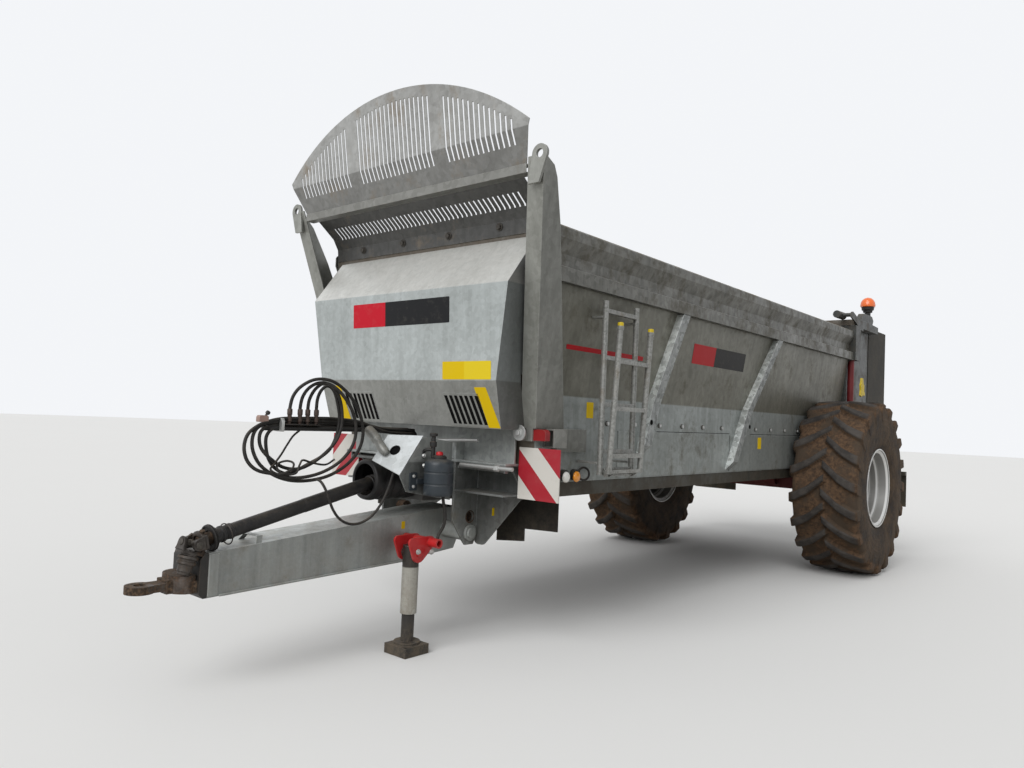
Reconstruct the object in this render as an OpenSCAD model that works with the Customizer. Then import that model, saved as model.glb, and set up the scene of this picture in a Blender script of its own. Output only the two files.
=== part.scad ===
/* [Body] */
// Length of the load body along its floor
body_len = 5050; // [4600:50:5600]
// Half width over the upright lower walls
body_half = 800; // [780:5:810]
// Height of the lower edge of the side walls
skirt_z = 950; // [930:5:970]
// Height of the load floor's upper face
floor_z = 1120; // [1110:5:1150]
// Height where the side walls begin to flare
flare_z = 1440; // [1380:10:1500]
// Height of the lower edge of the top rails
rail_z = 2050; // [2000:10:2100]
// Height of the top rails
rail_h = 305; // [270:5:330]
// How far the walls flare outwards up to the rails
flare_out = 90; // [60:5:110]
// Thickness of the wall sheets
wall_t = 6; // [4:1:8]
// Thickness of the load floor
floor_t = 10; // [6:1:14]

/* [Headboard] */
// Height of the feet of the front posts
post_foot_z = 1250; // [1230:5:1280]
// Vertical reach of the front posts
post_rise = 1335; // [1290:5:1380]
// How far a post leans outwards over its reach
post_out = 235; // [220:5:245]
// How far a post leans forwards over its reach
post_fwd = 330; // [310:5:345]
// Width of a post's front flange
post_flange = 102; // [90:2:110]
// Depth of a post's side web
post_web = 270; // [262:2:274]
// Thickness of the post sheets
post_t = 8; // [6:1:10]
// Radius of the headboard's arched edge
arch_r = 1626; // [1566:10:1686]
// Height of the arch above the crossbeam
arch_h = 548; // [528:5:573]
// Height of the band below the arched sheet's fold
arch_band = 160; // [140:5:180]
// Forward lean of the arched sheet above its fold in degrees
arch_lean = 9; // [7:0.5:12]
// Forward lean of the band below the fold in degrees
band_lean = 25; // [18:1:28]
// Half length of the arched sheet
arch_half = 1020; // [990:5:1040]
// Spacing of the sight slots
slot_pitch = 36; // [33:1:37]
// Width of a sight slot
slot_w = 13; // [10:1:16]

/* [Hood] */
// Half width of the hood at its foot
hood_foot_half = 742; // [700:2:750]
// Half width of the hood at its upper fold
hood_top_half = 834; // [800:2:845]
// Thickness of the hood sheet
hood_t = 5; // [3:1:6]
// Width of a vent slot in the hood
vent_w = 18; // [12:1:22]
// Number of vent slots in each group
vent_n = 7; // [5:1:8]

/* [Wheels] */
// Outer radius of a tyre over its lugs
tyre_r = 800; // [780:5:815]
// Section width of a tyre
tyre_w = 585; // [560:5:590]
// Gap between a tyre and the upright wall beside it
wheel_gap = 29.5; // [22.5:1:57.5]
// Distance of the axle ahead of the rear end of the body
axle_back = 630; // [550:10:670]
// Radius of the rim's flange
rim_r = 362; // [355:1:375]
// Height of a tread lug
lug_h = 38; // [30:2:45]
// Number of lugs on each half of the tread
lug_n = 20; // [16:1:22]
// Radius of the hub's bolt circle
hub_bolt_r = 140; // [135:1:150]

/* [Hitch] */
// Reach of the towing eye ahead of the feet of the posts
eye_reach = 1760; // [1700:10:1820]
// Height of the middle of the towing eye
eye_z = 484; // [470:2:500]
// Radius of the hole in the towing eye
eye_bore_r = 25; // [20:1:27]
// Thickness of the towing eye
eye_t = 34; // [28:1:40]
// Width of the drawbar
drawbar_w = 250; // [220:5:260]
// Wall of the drawbar
drawbar_t = 12; // [8:1:16]
// Half width between the hitch plates, to their outer faces
hitch_half = 312; // [300:2:320]

/* [Parking jack] */
// Distance of the jack from the middle of the machine
jack_x = 265; // [262:1:272]
// Distance of the jack ahead of the feet of the posts
jack_fwd = 350; // [330:5:370]
// Height of the jack's folding pin
jack_pin_z = 540; // [530:2:550]
// Outer radius of the jack's tube
jack_r = 45; // [42:1:48]
// Outer radius of the jack's inner leg
leg_r = 35; // [30:1:36]

/* [Drive shaft] */
// Radius of the drive shaft's guard tube
shaft_r = 42; // [38:1:46]
// Length of the drive shaft between its joints
shaft_len = 1045; // [980:5:1060]
// Slope of the drive shaft in degrees
shaft_slope = 12; // [11.5:0.5:13]
// Sideways angle of the drive shaft in degrees
shaft_yaw = 4.5; // [4:0.5:5]
// Radius of the splined hole in the tractor end yoke
spline_r = 17.5; // [17.5:0.5:22]

/* [Ladder] */
// Distance between the ladder's stiles
ladder_w = 335; // [320:5:350]
// Radius of a stile
stile_r = 17; // [14:1:18]
// Spacing of the rungs
rung_pitch = 270; // [250:5:280]

/* [Spreading unit] */
// Radius swept by a beater
beater_r = 362; // [330:2:368]
// Distance of a beater's shaft from the middle of the machine
beater_x = 392; // [386:2:396]
// Radius of a beater's core tube
core_r = 95; // [80:5:110]
// Length of the spreading unit behind the body
unit_len = 810; // [780:10:860]
// Height of the top of the spreading unit
unit_top_z = 2410; // [2380:10:2450]
// Lift of the rear door
door_lift = 940; // [800:20:940]

/* [Hidden] */
$fn = 48;
// Radial clearance of a running fit, and the gap left between seated pieces
fit = 0.05;
seat = 0.3;
// Least gap between pieces that move past each other
clear = 6;

// The rear end of the machine, behind the feet of the posts
shield_len = 600;
track_half = body_half + wheel_gap + tyre_w / 2;
axle_y = body_len - axle_back;
rear_reach = body_len + unit_len + shield_len;
// The machine's middle lies over the origin
front_y = (eye_reach - rear_reach) / 2;

wheel_z = tyre_r;
rail_top = rail_z + rail_h;
wall_x = body_half - wall_t;
flare_slope = flare_out / (rail_z - flare_z);
flare_x = body_half + flare_out;
post_len = sqrt(post_rise * post_rise + post_out * post_out + post_fwd * post_fwd);
post_roll = atan(post_out / post_rise);
post_pitch = asin(post_fwd / post_len);
post_foot_x = body_half + 21;
beam_z = post_foot_z + post_rise - 30;
front_wall_top = 2395;
front_wall_y = 40;
front_wall_lean = 130;

// The folded edge of a post at a height
function post_x(z) = post_foot_x + post_out * (z - post_foot_z) / post_rise;
function post_y(z) = -post_fwd * (z - post_foot_z) / post_rise;
// Rear edge of a post's web, which narrows upwards
function post_back(z) = post_web - 0.343 * (z - post_foot_z);
// Inner edge of a post's front flange at a height
function flange_in(z) = post_x(z - post_flange * sin(post_roll) * cos(post_pitch)) - post_flange * cos(post_roll);
// Inner and outer face of the side wall at a height
function wall_in(z) = wall_x + min(flare_out, max(0, z - flare_z) * flare_slope);
function wall_out(z) = wall_in(z) + wall_t;
// Inner face of the front wall at a height
function wall_y(z) = front_wall_y - front_wall_lean * (z - floor_z) / (front_wall_top - floor_z);
// Front face of the front wall at a height
function wall_face(z) = wall_y(z) - wall_t - 0.1;

module place() {
    translate([0, front_y, 0]) children();
}
// A profile of x and z carried along y
module along_y(y0, y1) {
    translate([0, y1, 0]) rotate([90, 0, 0]) linear_extrude(y1 - y0) children();
}
// A profile of y and z carried along x
module along_x(x0, x1) {
    translate([x0, 0, 0]) rotate([90, 0, 90]) linear_extrude(x1 - x0) children();
}
module box(a, b) {
    translate(a) cube(b - a);
}
module both_sides() {
    children();
    mirror([1, 0, 0]) children();
}
module side(s) {
    if (s > 0) children();
    else mirror([1, 0, 0]) children();
}
module tube_x(x0, x1, y, z, r) {
    translate([x0, y, z]) rotate([0, 90, 0]) cylinder(h = x1 - x0, r = r);
}
module tube_y(y0, y1, x, z, r) {
    translate([x, y0, z]) rotate([-90, 0, 0]) cylinder(h = y1 - y0, r = r);
}
module tube_z(z0, z1, x, y, r) {
    translate([x, y, z0]) cylinder(h = z1 - z0, r = r);
}

// A folded sheet: the path's left side is thickened by t, mitred at the folds
function unit(v) = v / norm(v);
function left_of(v) = [-v[1], v[0]];
function fold_normal(p, i) =
    let (n = len(p) - 1,
        a = i > 0 ? left_of(unit(p[i] - p[i - 1])) : left_of(unit(p[1] - p[0])),
        b = i < n ? left_of(unit(p[i + 1] - p[i])) : a,
        m = unit(a + b))
    m / (m * a);
module sheet(path, t) {
    polygon(concat(path, [for (i = [len(path) - 1:-1:0]) path[i] + t * fold_normal(path, i)]));
}

// Chassis
main_x = 400;
main_w = 100;
cross_h = 60;
cross_top = floor_z - 80;
main_top = cross_top - cross_h;
main_h = 100;
cross_step = 680;
cross_first = 300;
cross_w = 80;
sill_w = 70;
sill_z = skirt_z - 82;
hitch_back = 112;
gusset_t = 10;
module chassis() {
    half = wall_x - 6;
    color("darkgray") place() {
        both_sides() {
            difference() {
                box([main_x - main_w / 2, hitch_back + gusset_t, main_top - main_h],
                    [main_x + main_w / 2, body_len, main_top]);
                box([main_x - main_w / 2 + 8, hitch_back, main_top - main_h + 8],
                    [main_x + main_w / 2 - 8, body_len + 10, main_top - 8]);
            }
            along_y(280, body_len)
                sheet([[wall_x - sill_w, sill_z], [wall_x, sill_z], [wall_x, cross_top]], 6);
        }
        for (y = [cross_first:cross_step:body_len - 100])
            difference() {
                box([-half, y, main_top], [half, y + cross_w, cross_top]);
                box([-half - 1, y + 6, main_top + 6], [half + 1, y + cross_w - 6, cross_top - 6]);
            }
    }
}
// The sheets that hang from the front ends of the sills
module front_flaps() {
    color("dimgray") place() both_sides()
        along_y(280, 286)
            polygon([[330, sill_z], [330, 560], [545, 582], [545, 655], [wall_x - 8, 665], [wall_x - 8, sill_z]]);
}

// Hitch
hitch_t = 14;
pivot_y = 56;
pivot_z = 621;
pivot_r = 30;
spare_pivot_z = 714;
nose_r = 36;
hitch_front = -85;
shelf_z = 1036;
shelf_t = 14;
transom_top = 1239;
transom_half = 690;
stay_y = -50;
stay_z = 1010;
shaft_z = 922;
drive_z = 915;
module hitch_frame() {
    color("silver") place() {
        both_sides() {
            difference() {
                along_x(hitch_half - hitch_t, hitch_half)
                    difference() {
                        polygon([[hitch_front, 1150], [hitch_front, 700], [pivot_y - 62, 590], [pivot_y - 30, 552],
                            [hitch_back - 20, 552], [hitch_back, 590], [560, 800], [560, main_top],
                            [hitch_back, main_top], [hitch_back, shelf_z], [-12, shelf_z], [-12, 1150]]);
                        translate([pivot_y, spare_pivot_z]) circle(r = pivot_r);
                    }
                tube_x(hitch_half - 40, hitch_half + 40, pivot_y, pivot_z, pivot_r + seat);
            }
            // The gusset that reaches out to the sill, and its ribs
            along_y(hitch_back, hitch_back + gusset_t)
                intersection() {
                    offset(r = nose_r) offset(delta = -nose_r)
                        polygon([[hitch_half - hitch_t, 552], [376, 552], [640, 840], [wall_x + nose_r, 905],
                            [wall_x + nose_r, shelf_z + nose_r], [hitch_half - hitch_t, shelf_z + nose_r]]);
                    translate([0, 500]) square([wall_x, shelf_z - 500]);
                }
            box([hitch_half, hitch_front + 10, 868], [wall_x - 120, hitch_back, 878]);
            along_x(wall_x - 140, wall_x - 130)
                polygon([[-12, shelf_z], [hitch_back, shelf_z], [hitch_back, 878]]);
        }
        difference() {
            box([-hitch_half + hitch_t, 200, 780], [hitch_half - hitch_t, 214, main_top]);
            tube_y(190, 230, 0, drive_z, 60);
        }
        // The front transom under the hood, and the shelf that carries it
        box([-transom_half, -12, shelf_z + shelf_t], [transom_half, 0, transom_top]);
        box([-transom_half, hitch_front, shelf_z], [transom_half, hitch_back + gusset_t, shelf_z + shelf_t]);
        // Stays from the hitch plates to lugs under the shelf
        both_sides() {
            tube_x(hitch_half, transom_half - 20, stay_y, stay_z, 11);
            box([transom_half - 30, stay_y - 14, stay_z - 14], [transom_half - 20, stay_y + 14, shelf_z]);
        }
    }
}
bar_front = -1450;
bar_top = 632;
rest_y = -1200;
rest_half = 15;
// Place of the rear and front ends of the slanted drive shaft
joint_y = -359;
function shaft_x(y) = (joint_y - y) * tan(shaft_yaw);
function shaft_height(y) = shaft_z - (joint_y - y) / cos(shaft_yaw) * tan(shaft_slope);
rest_top = shaft_height(rest_y - rest_half) - shaft_r / cos(shaft_slope) - 6;
module drawbar() {
    color("silver") place() {
        difference() {
            along_x(-drawbar_w / 2, drawbar_w / 2)
                polygon([[bar_front, 430], [-350, 462], [120, 500], [150, 560], [150, 750], [-100, 740],
                    [bar_front, bar_top]]);
            along_x(-drawbar_w / 2 + drawbar_t, drawbar_w / 2 - drawbar_t)
                polygon([[bar_front - 1, 442], [-350, 474], [100, 512], [100, 734], [-100, 728],
                    [bar_front - 1, bar_top - 12]]);
            tube_x(-200, 200, pivot_y, pivot_z, pivot_r);
        }
        // The pivot pin through the hitch plates, with its distance tubes and caps
        tube_x(-hitch_half - 25, hitch_half + 25, pivot_y, pivot_z, pivot_r);
        both_sides() tube_x(drawbar_w / 2, hitch_half - hitch_t - seat, pivot_y, pivot_z, pivot_r + 20);
        both_sides() tube_x(hitch_half + seat, hitch_half + 14, pivot_y, pivot_z, pivot_r + 16);
        // The folded rest under the drive shaft
        along_y(rest_y - rest_half, rest_y + rest_half)
            sheet([[-60, 640], [shaft_x(rest_y) - 60, rest_top], [shaft_x(rest_y) + 60, rest_top], [120, 640]], -5);
    }
}
head_front = -1600;
cap_len = 40;
// The cap on the drawbar's front end
module towing_head() {
    color("saddlebrown") place() {
        along_x(-drawbar_w / 2, drawbar_w / 2)
            polygon([[bar_front - cap_len, 450], [bar_front - 20, 430], [bar_front, 430], [bar_front, bar_top],
                [bar_front - 20, bar_top], [bar_front - cap_len, bar_top - 30]]);
    }
}
module towing_eye() {
    color("saddlebrown") place() {
        // The shank of the eye, the wedges beside it and the ring
        box([-48, head_front, eye_z - 30], [48, bar_front - cap_len, eye_z + 30]);
        both_sides() translate([0, 0, eye_z - 26]) linear_extrude(52)
            polygon([[40, bar_front - cap_len], [110, bar_front - cap_len], [48, bar_front - cap_len - 95],
                [40, bar_front - cap_len - 95]]);
        difference() {
            union() {
                translate([0, -eye_reach + 62, eye_z - eye_t / 2]) cylinder(h = eye_t, r = 62);
                box([-42, -eye_reach + 90, eye_z - eye_t / 2], [42, head_front + 10, eye_z + eye_t / 2]);
            }
            translate([0, -eye_reach + 62, eye_z - eye_t]) cylinder(h = 2 * eye_t, r = eye_bore_r);
        }
    }
}

// Load body
chain_shaft_z = floor_z - 26;
chain_front = 105;
chain_rear = body_len - 60;
module floor() {
    color("gray") place()
        box([-wall_x, chain_front + 30, floor_z - floor_t], [wall_x, chain_rear - 30, floor_z]);
}
// A side view of the load space, sloping at its front end
module side_cut() {
    along_x(-2000, 2000)
        polygon([[front_wall_y - 6, 500], [front_wall_y - 6, floor_z], [wall_y(front_wall_top) - 6, front_wall_top],
            [body_len, front_wall_top], [body_len, 500]]);
}
module front_wall() {
    low_half = wall_x - 0.1;
    high_half = wall_in(rail_z) - 0.1;
    color("gray") place()
        intersection() {
            along_x(-1200, 1200)
                sheet([[front_wall_y, shelf_z + shelf_t], [front_wall_y, floor_z],
                    [wall_y(front_wall_top), front_wall_top]], 6);
            along_y(-300, 300)
                polygon([[-low_half, skirt_z], [-low_half, flare_z], [-high_half, rail_z], [-high_half, rail_top],
                    [high_half, rail_top], [high_half, rail_z], [low_half, flare_z], [low_half, skirt_z]]);
        }
}
rail_t = 5;
module wall(s) {
    place() side(s)
        intersection() {
            along_y(-400, body_len)
                sheet([[body_half, skirt_z], [body_half, flare_z], [flare_x, rail_z], [flare_x, rail_top - rail_t]],
                    wall_t);
            side_cut();
        }
}
module wall_left() {
    color("lightslategray") wall(1);
}
module wall_right() {
    color("lightslategray") wall(-1);
}
// The top rail is a folded sheet with a hollow flank between two lips
rail_out = flare_x + 50;
rail_lip = 80;
rail_front = post_y(rail_top) + 200;
module top_rail(s) {
    place() side(s)
        along_y(rail_front, body_len)
            sheet([[flare_x, rail_z + 6], [rail_out, rail_z], [rail_out, rail_z + rail_lip],
                [flare_x + 6, rail_z + rail_lip + 16], [flare_x + 6, rail_z + 160], [rail_out, rail_z + 238],
                [rail_out, rail_top - 12],
                [rail_out - 14, rail_top], [flare_x - wall_t, rail_top]], rail_t);
}
module top_rail_left() {
    color("silver") top_rail(1);
}
module top_rail_right() {
    color("silver") top_rail(-1);
}
rib_w = 90;
rib_d = 55;
module rib(foot_y, foot_z, head_y) {
    head_z = rail_z - 4;
    intersection() {
        along_x(body_half - 10, body_half + 300)
            polygon([[foot_y - rib_w / 2, foot_z], [foot_y + rib_w / 2, foot_z],
                [head_y + rib_w / 2, head_z], [head_y - rib_w / 2, head_z]]);
        along_y(foot_y - 200, head_y + 200)
            polygon([[body_half, foot_z], [body_half + 10, foot_z], [body_half + rib_d, foot_z + 60],
                [body_half + rib_d, flare_z], [rail_out, head_z], [wall_out(head_z), head_z], [body_half, flare_z]]);
    }
}
module side_ribs() {
    color("silver") place() both_sides()
        // Columns: y of the rib's foot, height of its foot, y of its head
        for (row = [[1110, 1101, 1444], [2430, 973, 3106]])
            rib(row[0], row[1], row[2]);
}

// Headboard
ear_r = 22;
ear_t = 16;
ear_x = post_x(beam_z) - 10;
ear_z = beam_z + 66;
module post_profile() {
    polygon([[-post_flange, 0], [0, 0], [0, post_web], [-post_t, post_web], [-post_t, post_t],
        [-post_flange, post_t]]);
}
module post(s) {
    head_y = post_y(beam_z);
    place() side(s) {
        difference() {
            intersection() {
                translate([post_foot_x, 0, post_foot_z]) rotate([post_pitch, 0, 0]) rotate([0, post_roll, 0])
                    translate([0, 0, -200]) linear_extrude(post_len + 320) post_profile();
                along_x(500, 1300)
                    polygon([[-700, post_foot_z], [post_web, post_foot_z], [post_back(beam_z - 250), beam_z - 250],
                        [head_y + 129, beam_z - 20], [head_y + 89, beam_z + 31], [head_y + 13, beam_z + 59],
                        [head_y - 90, beam_z + 68], [-700, beam_z + 68]]);
            }
            tube_y(head_y - 60, head_y + 20, ear_x, ear_z, ear_r + 12);
        }
        // The lifting ear on the head of the post
        translate([ear_x, head_y + 2, ear_z]) rotate([90, 0, 0]) linear_extrude(ear_t)
            difference() {
                union() {
                    circle(r = 48);
                    polygon([[-70, -146], [0, -146], [44, -20], [-20, 44], [-48, 0]]);
                }
                circle(r = ear_r);
            }
    }
}
module post_left() {
    color("silver") post(1);
}
module post_right() {
    color("silver") post(-1);
}
// The shoes between the walls and the posts' feet, with their hollow box and hinge eye
module post_shoes() {
    color("silver") place() both_sides() {
        difference() {
            box([body_half, 100, 1147], [body_half + 72, 220, post_foot_z]);
            box([body_half + 8, 90, 1155], [body_half + 64, 230, post_foot_z - 8]);
        }
        box([body_half - 44, 0, 1180], [body_half, 20, post_foot_z]);
        tube_y(-40, 20, body_half - 64, 1205, 26);
    }
}
beam_lip = 48;
beam_low = beam_z - 12;
module crossbeam() {
    half = flange_in(beam_low) - seat;
    color("silver") place()
        along_x(-half, half)
            sheet([[post_y(beam_z) + 60, beam_low], [post_y(beam_z), beam_low], [post_y(beam_z), beam_low + beam_lip],
                [post_y(beam_z) + 50, beam_low + beam_lip]], -6);
}
arch_foot = flange_in(beam_low) - seat;
arch_t = 5;
slot_foot = 88;
arch_foot_y = post_y(beam_z) + 9;
arch_foot_z = beam_low + beam_lip + 0.8;
arch_fold_y = arch_foot_y - arch_band * tan(band_lean);
// How far the folded sheet runs on past its outline before it is cut to it
over = 20;
// The arched sheet seen from the front
module arch_outline() {
    intersection() {
        translate([0, arch_h - arch_r]) circle(r = arch_r, $fn = 180);
        polygon([[-arch_foot, 0], [arch_foot, 0], [arch_half, 200], [arch_half, arch_h], [-arch_half, arch_h],
            [-arch_half, 200]]);
    }
}
module slot_groups() {
    // Columns: place of the group's middle slot, number of slots
    for (row = [[-664, 14], [0, 18], [664, 14]])
        for (i = [0:row[1] - 1]) {
            x = row[0] + (i - (row[1] - 1) / 2) * slot_pitch;
            top = sqrt(pow(arch_r, 2) - pow(abs(x) + slot_w, 2)) - arch_r + arch_h - 58;
            if (top > slot_foot + 50)
                translate([x - slot_w / 2, slot_foot]) square([slot_w, top - slot_foot]);
        }
}
strip_top = 2385;
strip_foot = 2305;
module headboard() {
    half = wall_in(strip_top);
    color("silver") place() {
        intersection() {
            along_x(-arch_half - over, arch_half + over)
                sheet([[arch_foot_y + over * tan(band_lean), arch_foot_z - over], [arch_fold_y, arch_foot_z + arch_band],
                    [arch_fold_y - (arch_h - arch_band + over) * tan(arch_lean), arch_foot_z + arch_h + over]], arch_t);
            along_y(-600, 0) translate([0, arch_foot_z]) difference() {
                arch_outline();
                slot_groups();
            }
        }
        // The sloping back sheet with its row of slots, and the bolted strip
        difference() {
            along_x(-half, half)
                sheet([[post_y(beam_z) + 60, beam_low + 0.5], [-140, 2450], [wall_face(strip_top) - 5.1, strip_top],
                    [wall_face(strip_foot) - 5.1, strip_foot]], 5);
            for (x = [-22 * slot_pitch:slot_pitch:22 * slot_pitch])
                box([x - slot_w / 2, -230, 2440], [x + slot_w / 2, -125, 2500]);
        }
    }
}
// The hood
hood_top_z = 2285;
hood_foot_z = transom_top;
fold_up = [-295, 2005];
fold_low = [-264, 1493];
hood_foot_y = -193;
vent_pitch = 38;
vent_edge = 120;
// Height where the hood's sides pass inside the posts' flanges
pass_z = 1540;
// The hood's side view, drawn in by d for its hollow, which runs out below and behind
module hood_hollow(d) {
    back = 40;
    polygon([[wall_y(hood_foot_z) + back, hood_foot_z - d], [hood_foot_y + d, hood_foot_z - d],
        fold_low + [d, 0], fold_up + [d, -d / 3], [wall_face(hood_top_z), hood_top_z - 1.6 * d],
        [wall_y(hood_top_z) + back, hood_top_z - 1.6 * d]]);
}
module hood_width(d) {
    polygon([[-hood_foot_half + d, hood_foot_z - d], [hood_foot_half - d, hood_foot_z - d],
        [hood_foot_half + 12 - d, fold_low[1]], [hood_top_half - d, fold_up[1]], [hood_top_half + 10 - d, hood_top_z],
        [-hood_top_half - 10 + d, hood_top_z], [-hood_top_half + d, fold_up[1]],
        [-hood_foot_half - 12 + d, fold_low[1]]]);
}
module hood() {
    color("lightsteelblue") place()
        difference() {
            intersection() {
                along_x(-900, 900)
                    polygon([[-seat, hood_foot_z], [hood_foot_y, hood_foot_z], fold_low, fold_up,
                        [wall_face(hood_top_z), hood_top_z], [wall_face(pass_z), pass_z],
                        [post_y(pass_z) - seat, pass_z], [-seat, post_foot_z]]);
                along_y(-400, 100) hood_width(0);
            }
            intersection() {
                along_x(-890, 890) hood_hollow(hood_t);
                along_y(-500, 150) hood_width(hood_t);
            }
            both_sides() for (i = [0:vent_n - 1])
                translate([hood_foot_half - vent_edge - i * vent_pitch, -228, 1360]) rotate([-16, -8, 0])
                    cube([vent_w, 60, 150], center = true);
        }
}

// Wheels
spindle_r = 55;
hub_r = 90;
hub_flange_r = 175;
disc_x = 60;
axle_h = 150;
module axle() {
    color("darkred") place() {
        box([-700, axle_y - axle_h / 2, wheel_z - axle_h / 2], [700, axle_y + axle_h / 2, wheel_z + axle_h / 2]);
        both_sides() {
            tube_x(700, track_half - 110, axle_y, wheel_z, spindle_r);
            // The seat that bolts the axle under the main rail
            along_x(main_x - 60, main_x + 60)
                polygon([[axle_y - 220, main_top - main_h], [axle_y - 130, wheel_z - 40], [axle_y + 130, wheel_z - 40],
                    [axle_y + 220, main_top - main_h]]);
        }
    }
}
module hub(s) {
    place() side(s) difference() {
        union() {
            tube_x(track_half - 180, track_half + disc_x, axle_y, wheel_z, hub_r);
            tube_x(track_half + disc_x - 22, track_half + disc_x, axle_y, wheel_z, hub_flange_r);
        }
        tube_x(track_half - 200, track_half - 100, axle_y, wheel_z, spindle_r + fit);
    }
}
module hub_left() {
    color("dimgray") hub(1);
}
module hub_right() {
    color("dimgray") hub(-1);
}
bead_w = 262;
bead_seat = 330;
module rim(s) {
    place() side(s) translate([track_half, axle_y, wheel_z]) rotate([0, 90, 0]) difference() {
        rotate_extrude($fn = 72)
            polygon([[320, -250], [rim_r, -bead_w], [rim_r, -250], [bead_seat, -238], [bead_seat, -150], [290, -110], [290, 90],
                [bead_seat, 150], [bead_seat, 238], [rim_r, 250], [rim_r, bead_w], [320, 250], [320, 160], [280, 100],
                [275, disc_x + 24], [110, disc_x + 24], [110, disc_x], [180, disc_x], [180, disc_x + 6],
                [265, disc_x + 6], [280, 40], [280, -112], [320, -156]]);
        for (i = [0:9]) rotate([0, 0, i * 36]) translate([hub_bolt_r, 0, 0]) cylinder(h = 200, r = 11);
    }
}
module rim_left() {
    color("whitesmoke") rim(1);
}
module rim_right() {
    color("whitesmoke") rim(-1);
}
base_r = tyre_r - lug_h;
tyre_sides = 32;
// The bead's flats clear the rim's round seat
bead_r = (bead_seat + seat) / cos(180 / tyre_sides);
half_w = tyre_w / 2;
// Columns: turn in degrees, place across the tread, width, inner radius, outer radius
lug_rows = [[0, -8, 34, base_r - 12, tyre_r], [9, 128, 44, base_r - 16, tyre_r - 5],
    [15, half_w - 12, 52, base_r - 70, tyre_r - 28]];
// The four corners of a lug's section, tapered towards its crest
function lug_corners(row, s) =
    let (a = row[0], w = row[2])
    [for (q = [[row[3], 0], [row[3], w], [row[4], w - 9], [row[4], 9]])
        [q[0] * cos(a) - q[1] * sin(a), q[0] * sin(a) + q[1] * cos(a), s * row[1]]];
module lug(s) {
    for (i = [0:1])
        hull() polyhedron(points = concat(lug_corners(lug_rows[i], s), lug_corners(lug_rows[i + 1], s)),
            faces = [[0, 1, 2, 3], [7, 6, 5, 4], [0, 4, 5, 1], [1, 5, 6, 2], [2, 6, 7, 3], [3, 7, 4, 0]]);
}
module tyre(s) {
    place() side(s) translate([track_half, axle_y, wheel_z]) rotate([0, 90, 0]) {
        rotate_extrude($fn = tyre_sides)
            polygon([[bead_r, -236], [rim_r + 6, -250], [460, -280], [600, -half_w + 2],
                [base_r - 26, -half_w + 34], [base_r, -90], [base_r, 90], [base_r - 26, half_w - 34],
                [600, half_w - 2], [460, 280], [rim_r + 6, 250], [bead_r, 236]]);
        for (i = [0:lug_n - 1]) {
            rotate([0, 0, i * 360 / lug_n]) lug(1);
            rotate([0, 0, (i + 0.5) * 360 / lug_n]) lug(-1);
        }
    }
}
module tyre_left() {
    color("sienna") tyre(1);
}
module tyre_right() {
    color("sienna") tyre(-1);
}

// Parking jack
jack_y = -jack_fwd;
jack_plate_t = 12;
jack_gap = 8;
jack_in_x = jack_x - jack_r - jack_gap;
jack_out_x = jack_x + jack_r + jack_gap;
jack_pin_r = 16;
carrier = [jack_y + 82, jack_pin_z + 58];
carrier_r = 26;
module jack_plate_outline() {
    difference() {
        hull() {
            translate([jack_y, jack_pin_z]) circle(r = 46);
            translate([jack_y - 50, jack_pin_z + 66]) circle(r = 24);
            translate(carrier) circle(r = 34);
        }
        translate([jack_y, jack_pin_z]) circle(r = jack_pin_r);
    }
}
module jack_bracket() {
    color("red") place() {
        along_x(jack_in_x - jack_plate_t, jack_in_x) jack_plate_outline();
        along_x(jack_out_x, jack_out_x + jack_plate_t) jack_plate_outline();
        // The tube that carries both plates on the drawbar
        difference() {
            tube_x(drawbar_w / 2, jack_out_x + 80, carrier[0], carrier[1], carrier_r);
            tube_x(jack_out_x + 20, jack_out_x + 90, carrier[0], carrier[1], 17);
        }
        tube_x(jack_in_x - jack_plate_t - 10, jack_out_x + jack_plate_t + 10, jack_y, jack_pin_z, jack_pin_r);
    }
}
tube_foot_z = 215;
foot_half = 85;
foot_h = 52;
collar_h = 14;
leg_top_z = 290;
module jack_tube() {
    color("gray") place() difference() {
        union() {
            tube_z(tube_foot_z, jack_pin_z + 42, jack_x, jack_y, jack_r);
            tube_x(jack_in_x + clear, jack_out_x - clear, jack_y, jack_pin_z, 30);
        }
        tube_z(tube_foot_z - 1, jack_pin_z - 45, jack_x, jack_y, leg_r + fit);
        tube_x(jack_in_x - 5, jack_out_x + 5, jack_y, jack_pin_z, jack_pin_r + fit);
    }
}
module jack_leg() {
    color("black") place() {
        tube_z(foot_h, leg_top_z, jack_x, jack_y, leg_r);
        tube_z(foot_h, foot_h + collar_h, jack_x, jack_y, 72);
        box([jack_x - foot_half, jack_y - foot_half, 0], [jack_x + foot_half, jack_y + foot_half, foot_h]);
    }
}

// Drive
gear_front = -160;
cone_back = -235;
joint_pin_r = 12;
fork_in = 28;
fork_out = 42;
eye_half = fork_in - 2;
joint_eye_r = 24;
module input_gearbox() {
    color("dimgray") place() {
        box([-130, gear_front, 800], [130, 130, shelf_z]);
        tube_y(cone_back, gear_front, 0, shaft_z, 95);
        tube_y(joint_y + 45, cone_back, 0, shaft_z, 32);
        // The gearbox's half of the rear joint, with its upright pin
        for (z = [shaft_z - fork_out, shaft_z + fork_in])
            box([-22, joint_y - 22, z], [22, joint_y + 60, z + fork_out - fork_in]);
        box([-22, joint_y + 40, shaft_z - fork_out], [22, joint_y + 60, shaft_z + fork_out]);
        tube_z(shaft_z - fork_out, shaft_z + fork_out, 0, joint_y, joint_pin_r);
    }
}
module guard_cone() {
    color("black") place() translate([0, gear_front, shaft_z]) rotate([90, 0, 0])
        rotate_extrude() polygon([[95 + fit, 0], [104, 0], [108, 75], [152, 300], [144, 300], [98, 80], [95 + fit, 74]]);
}
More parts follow.
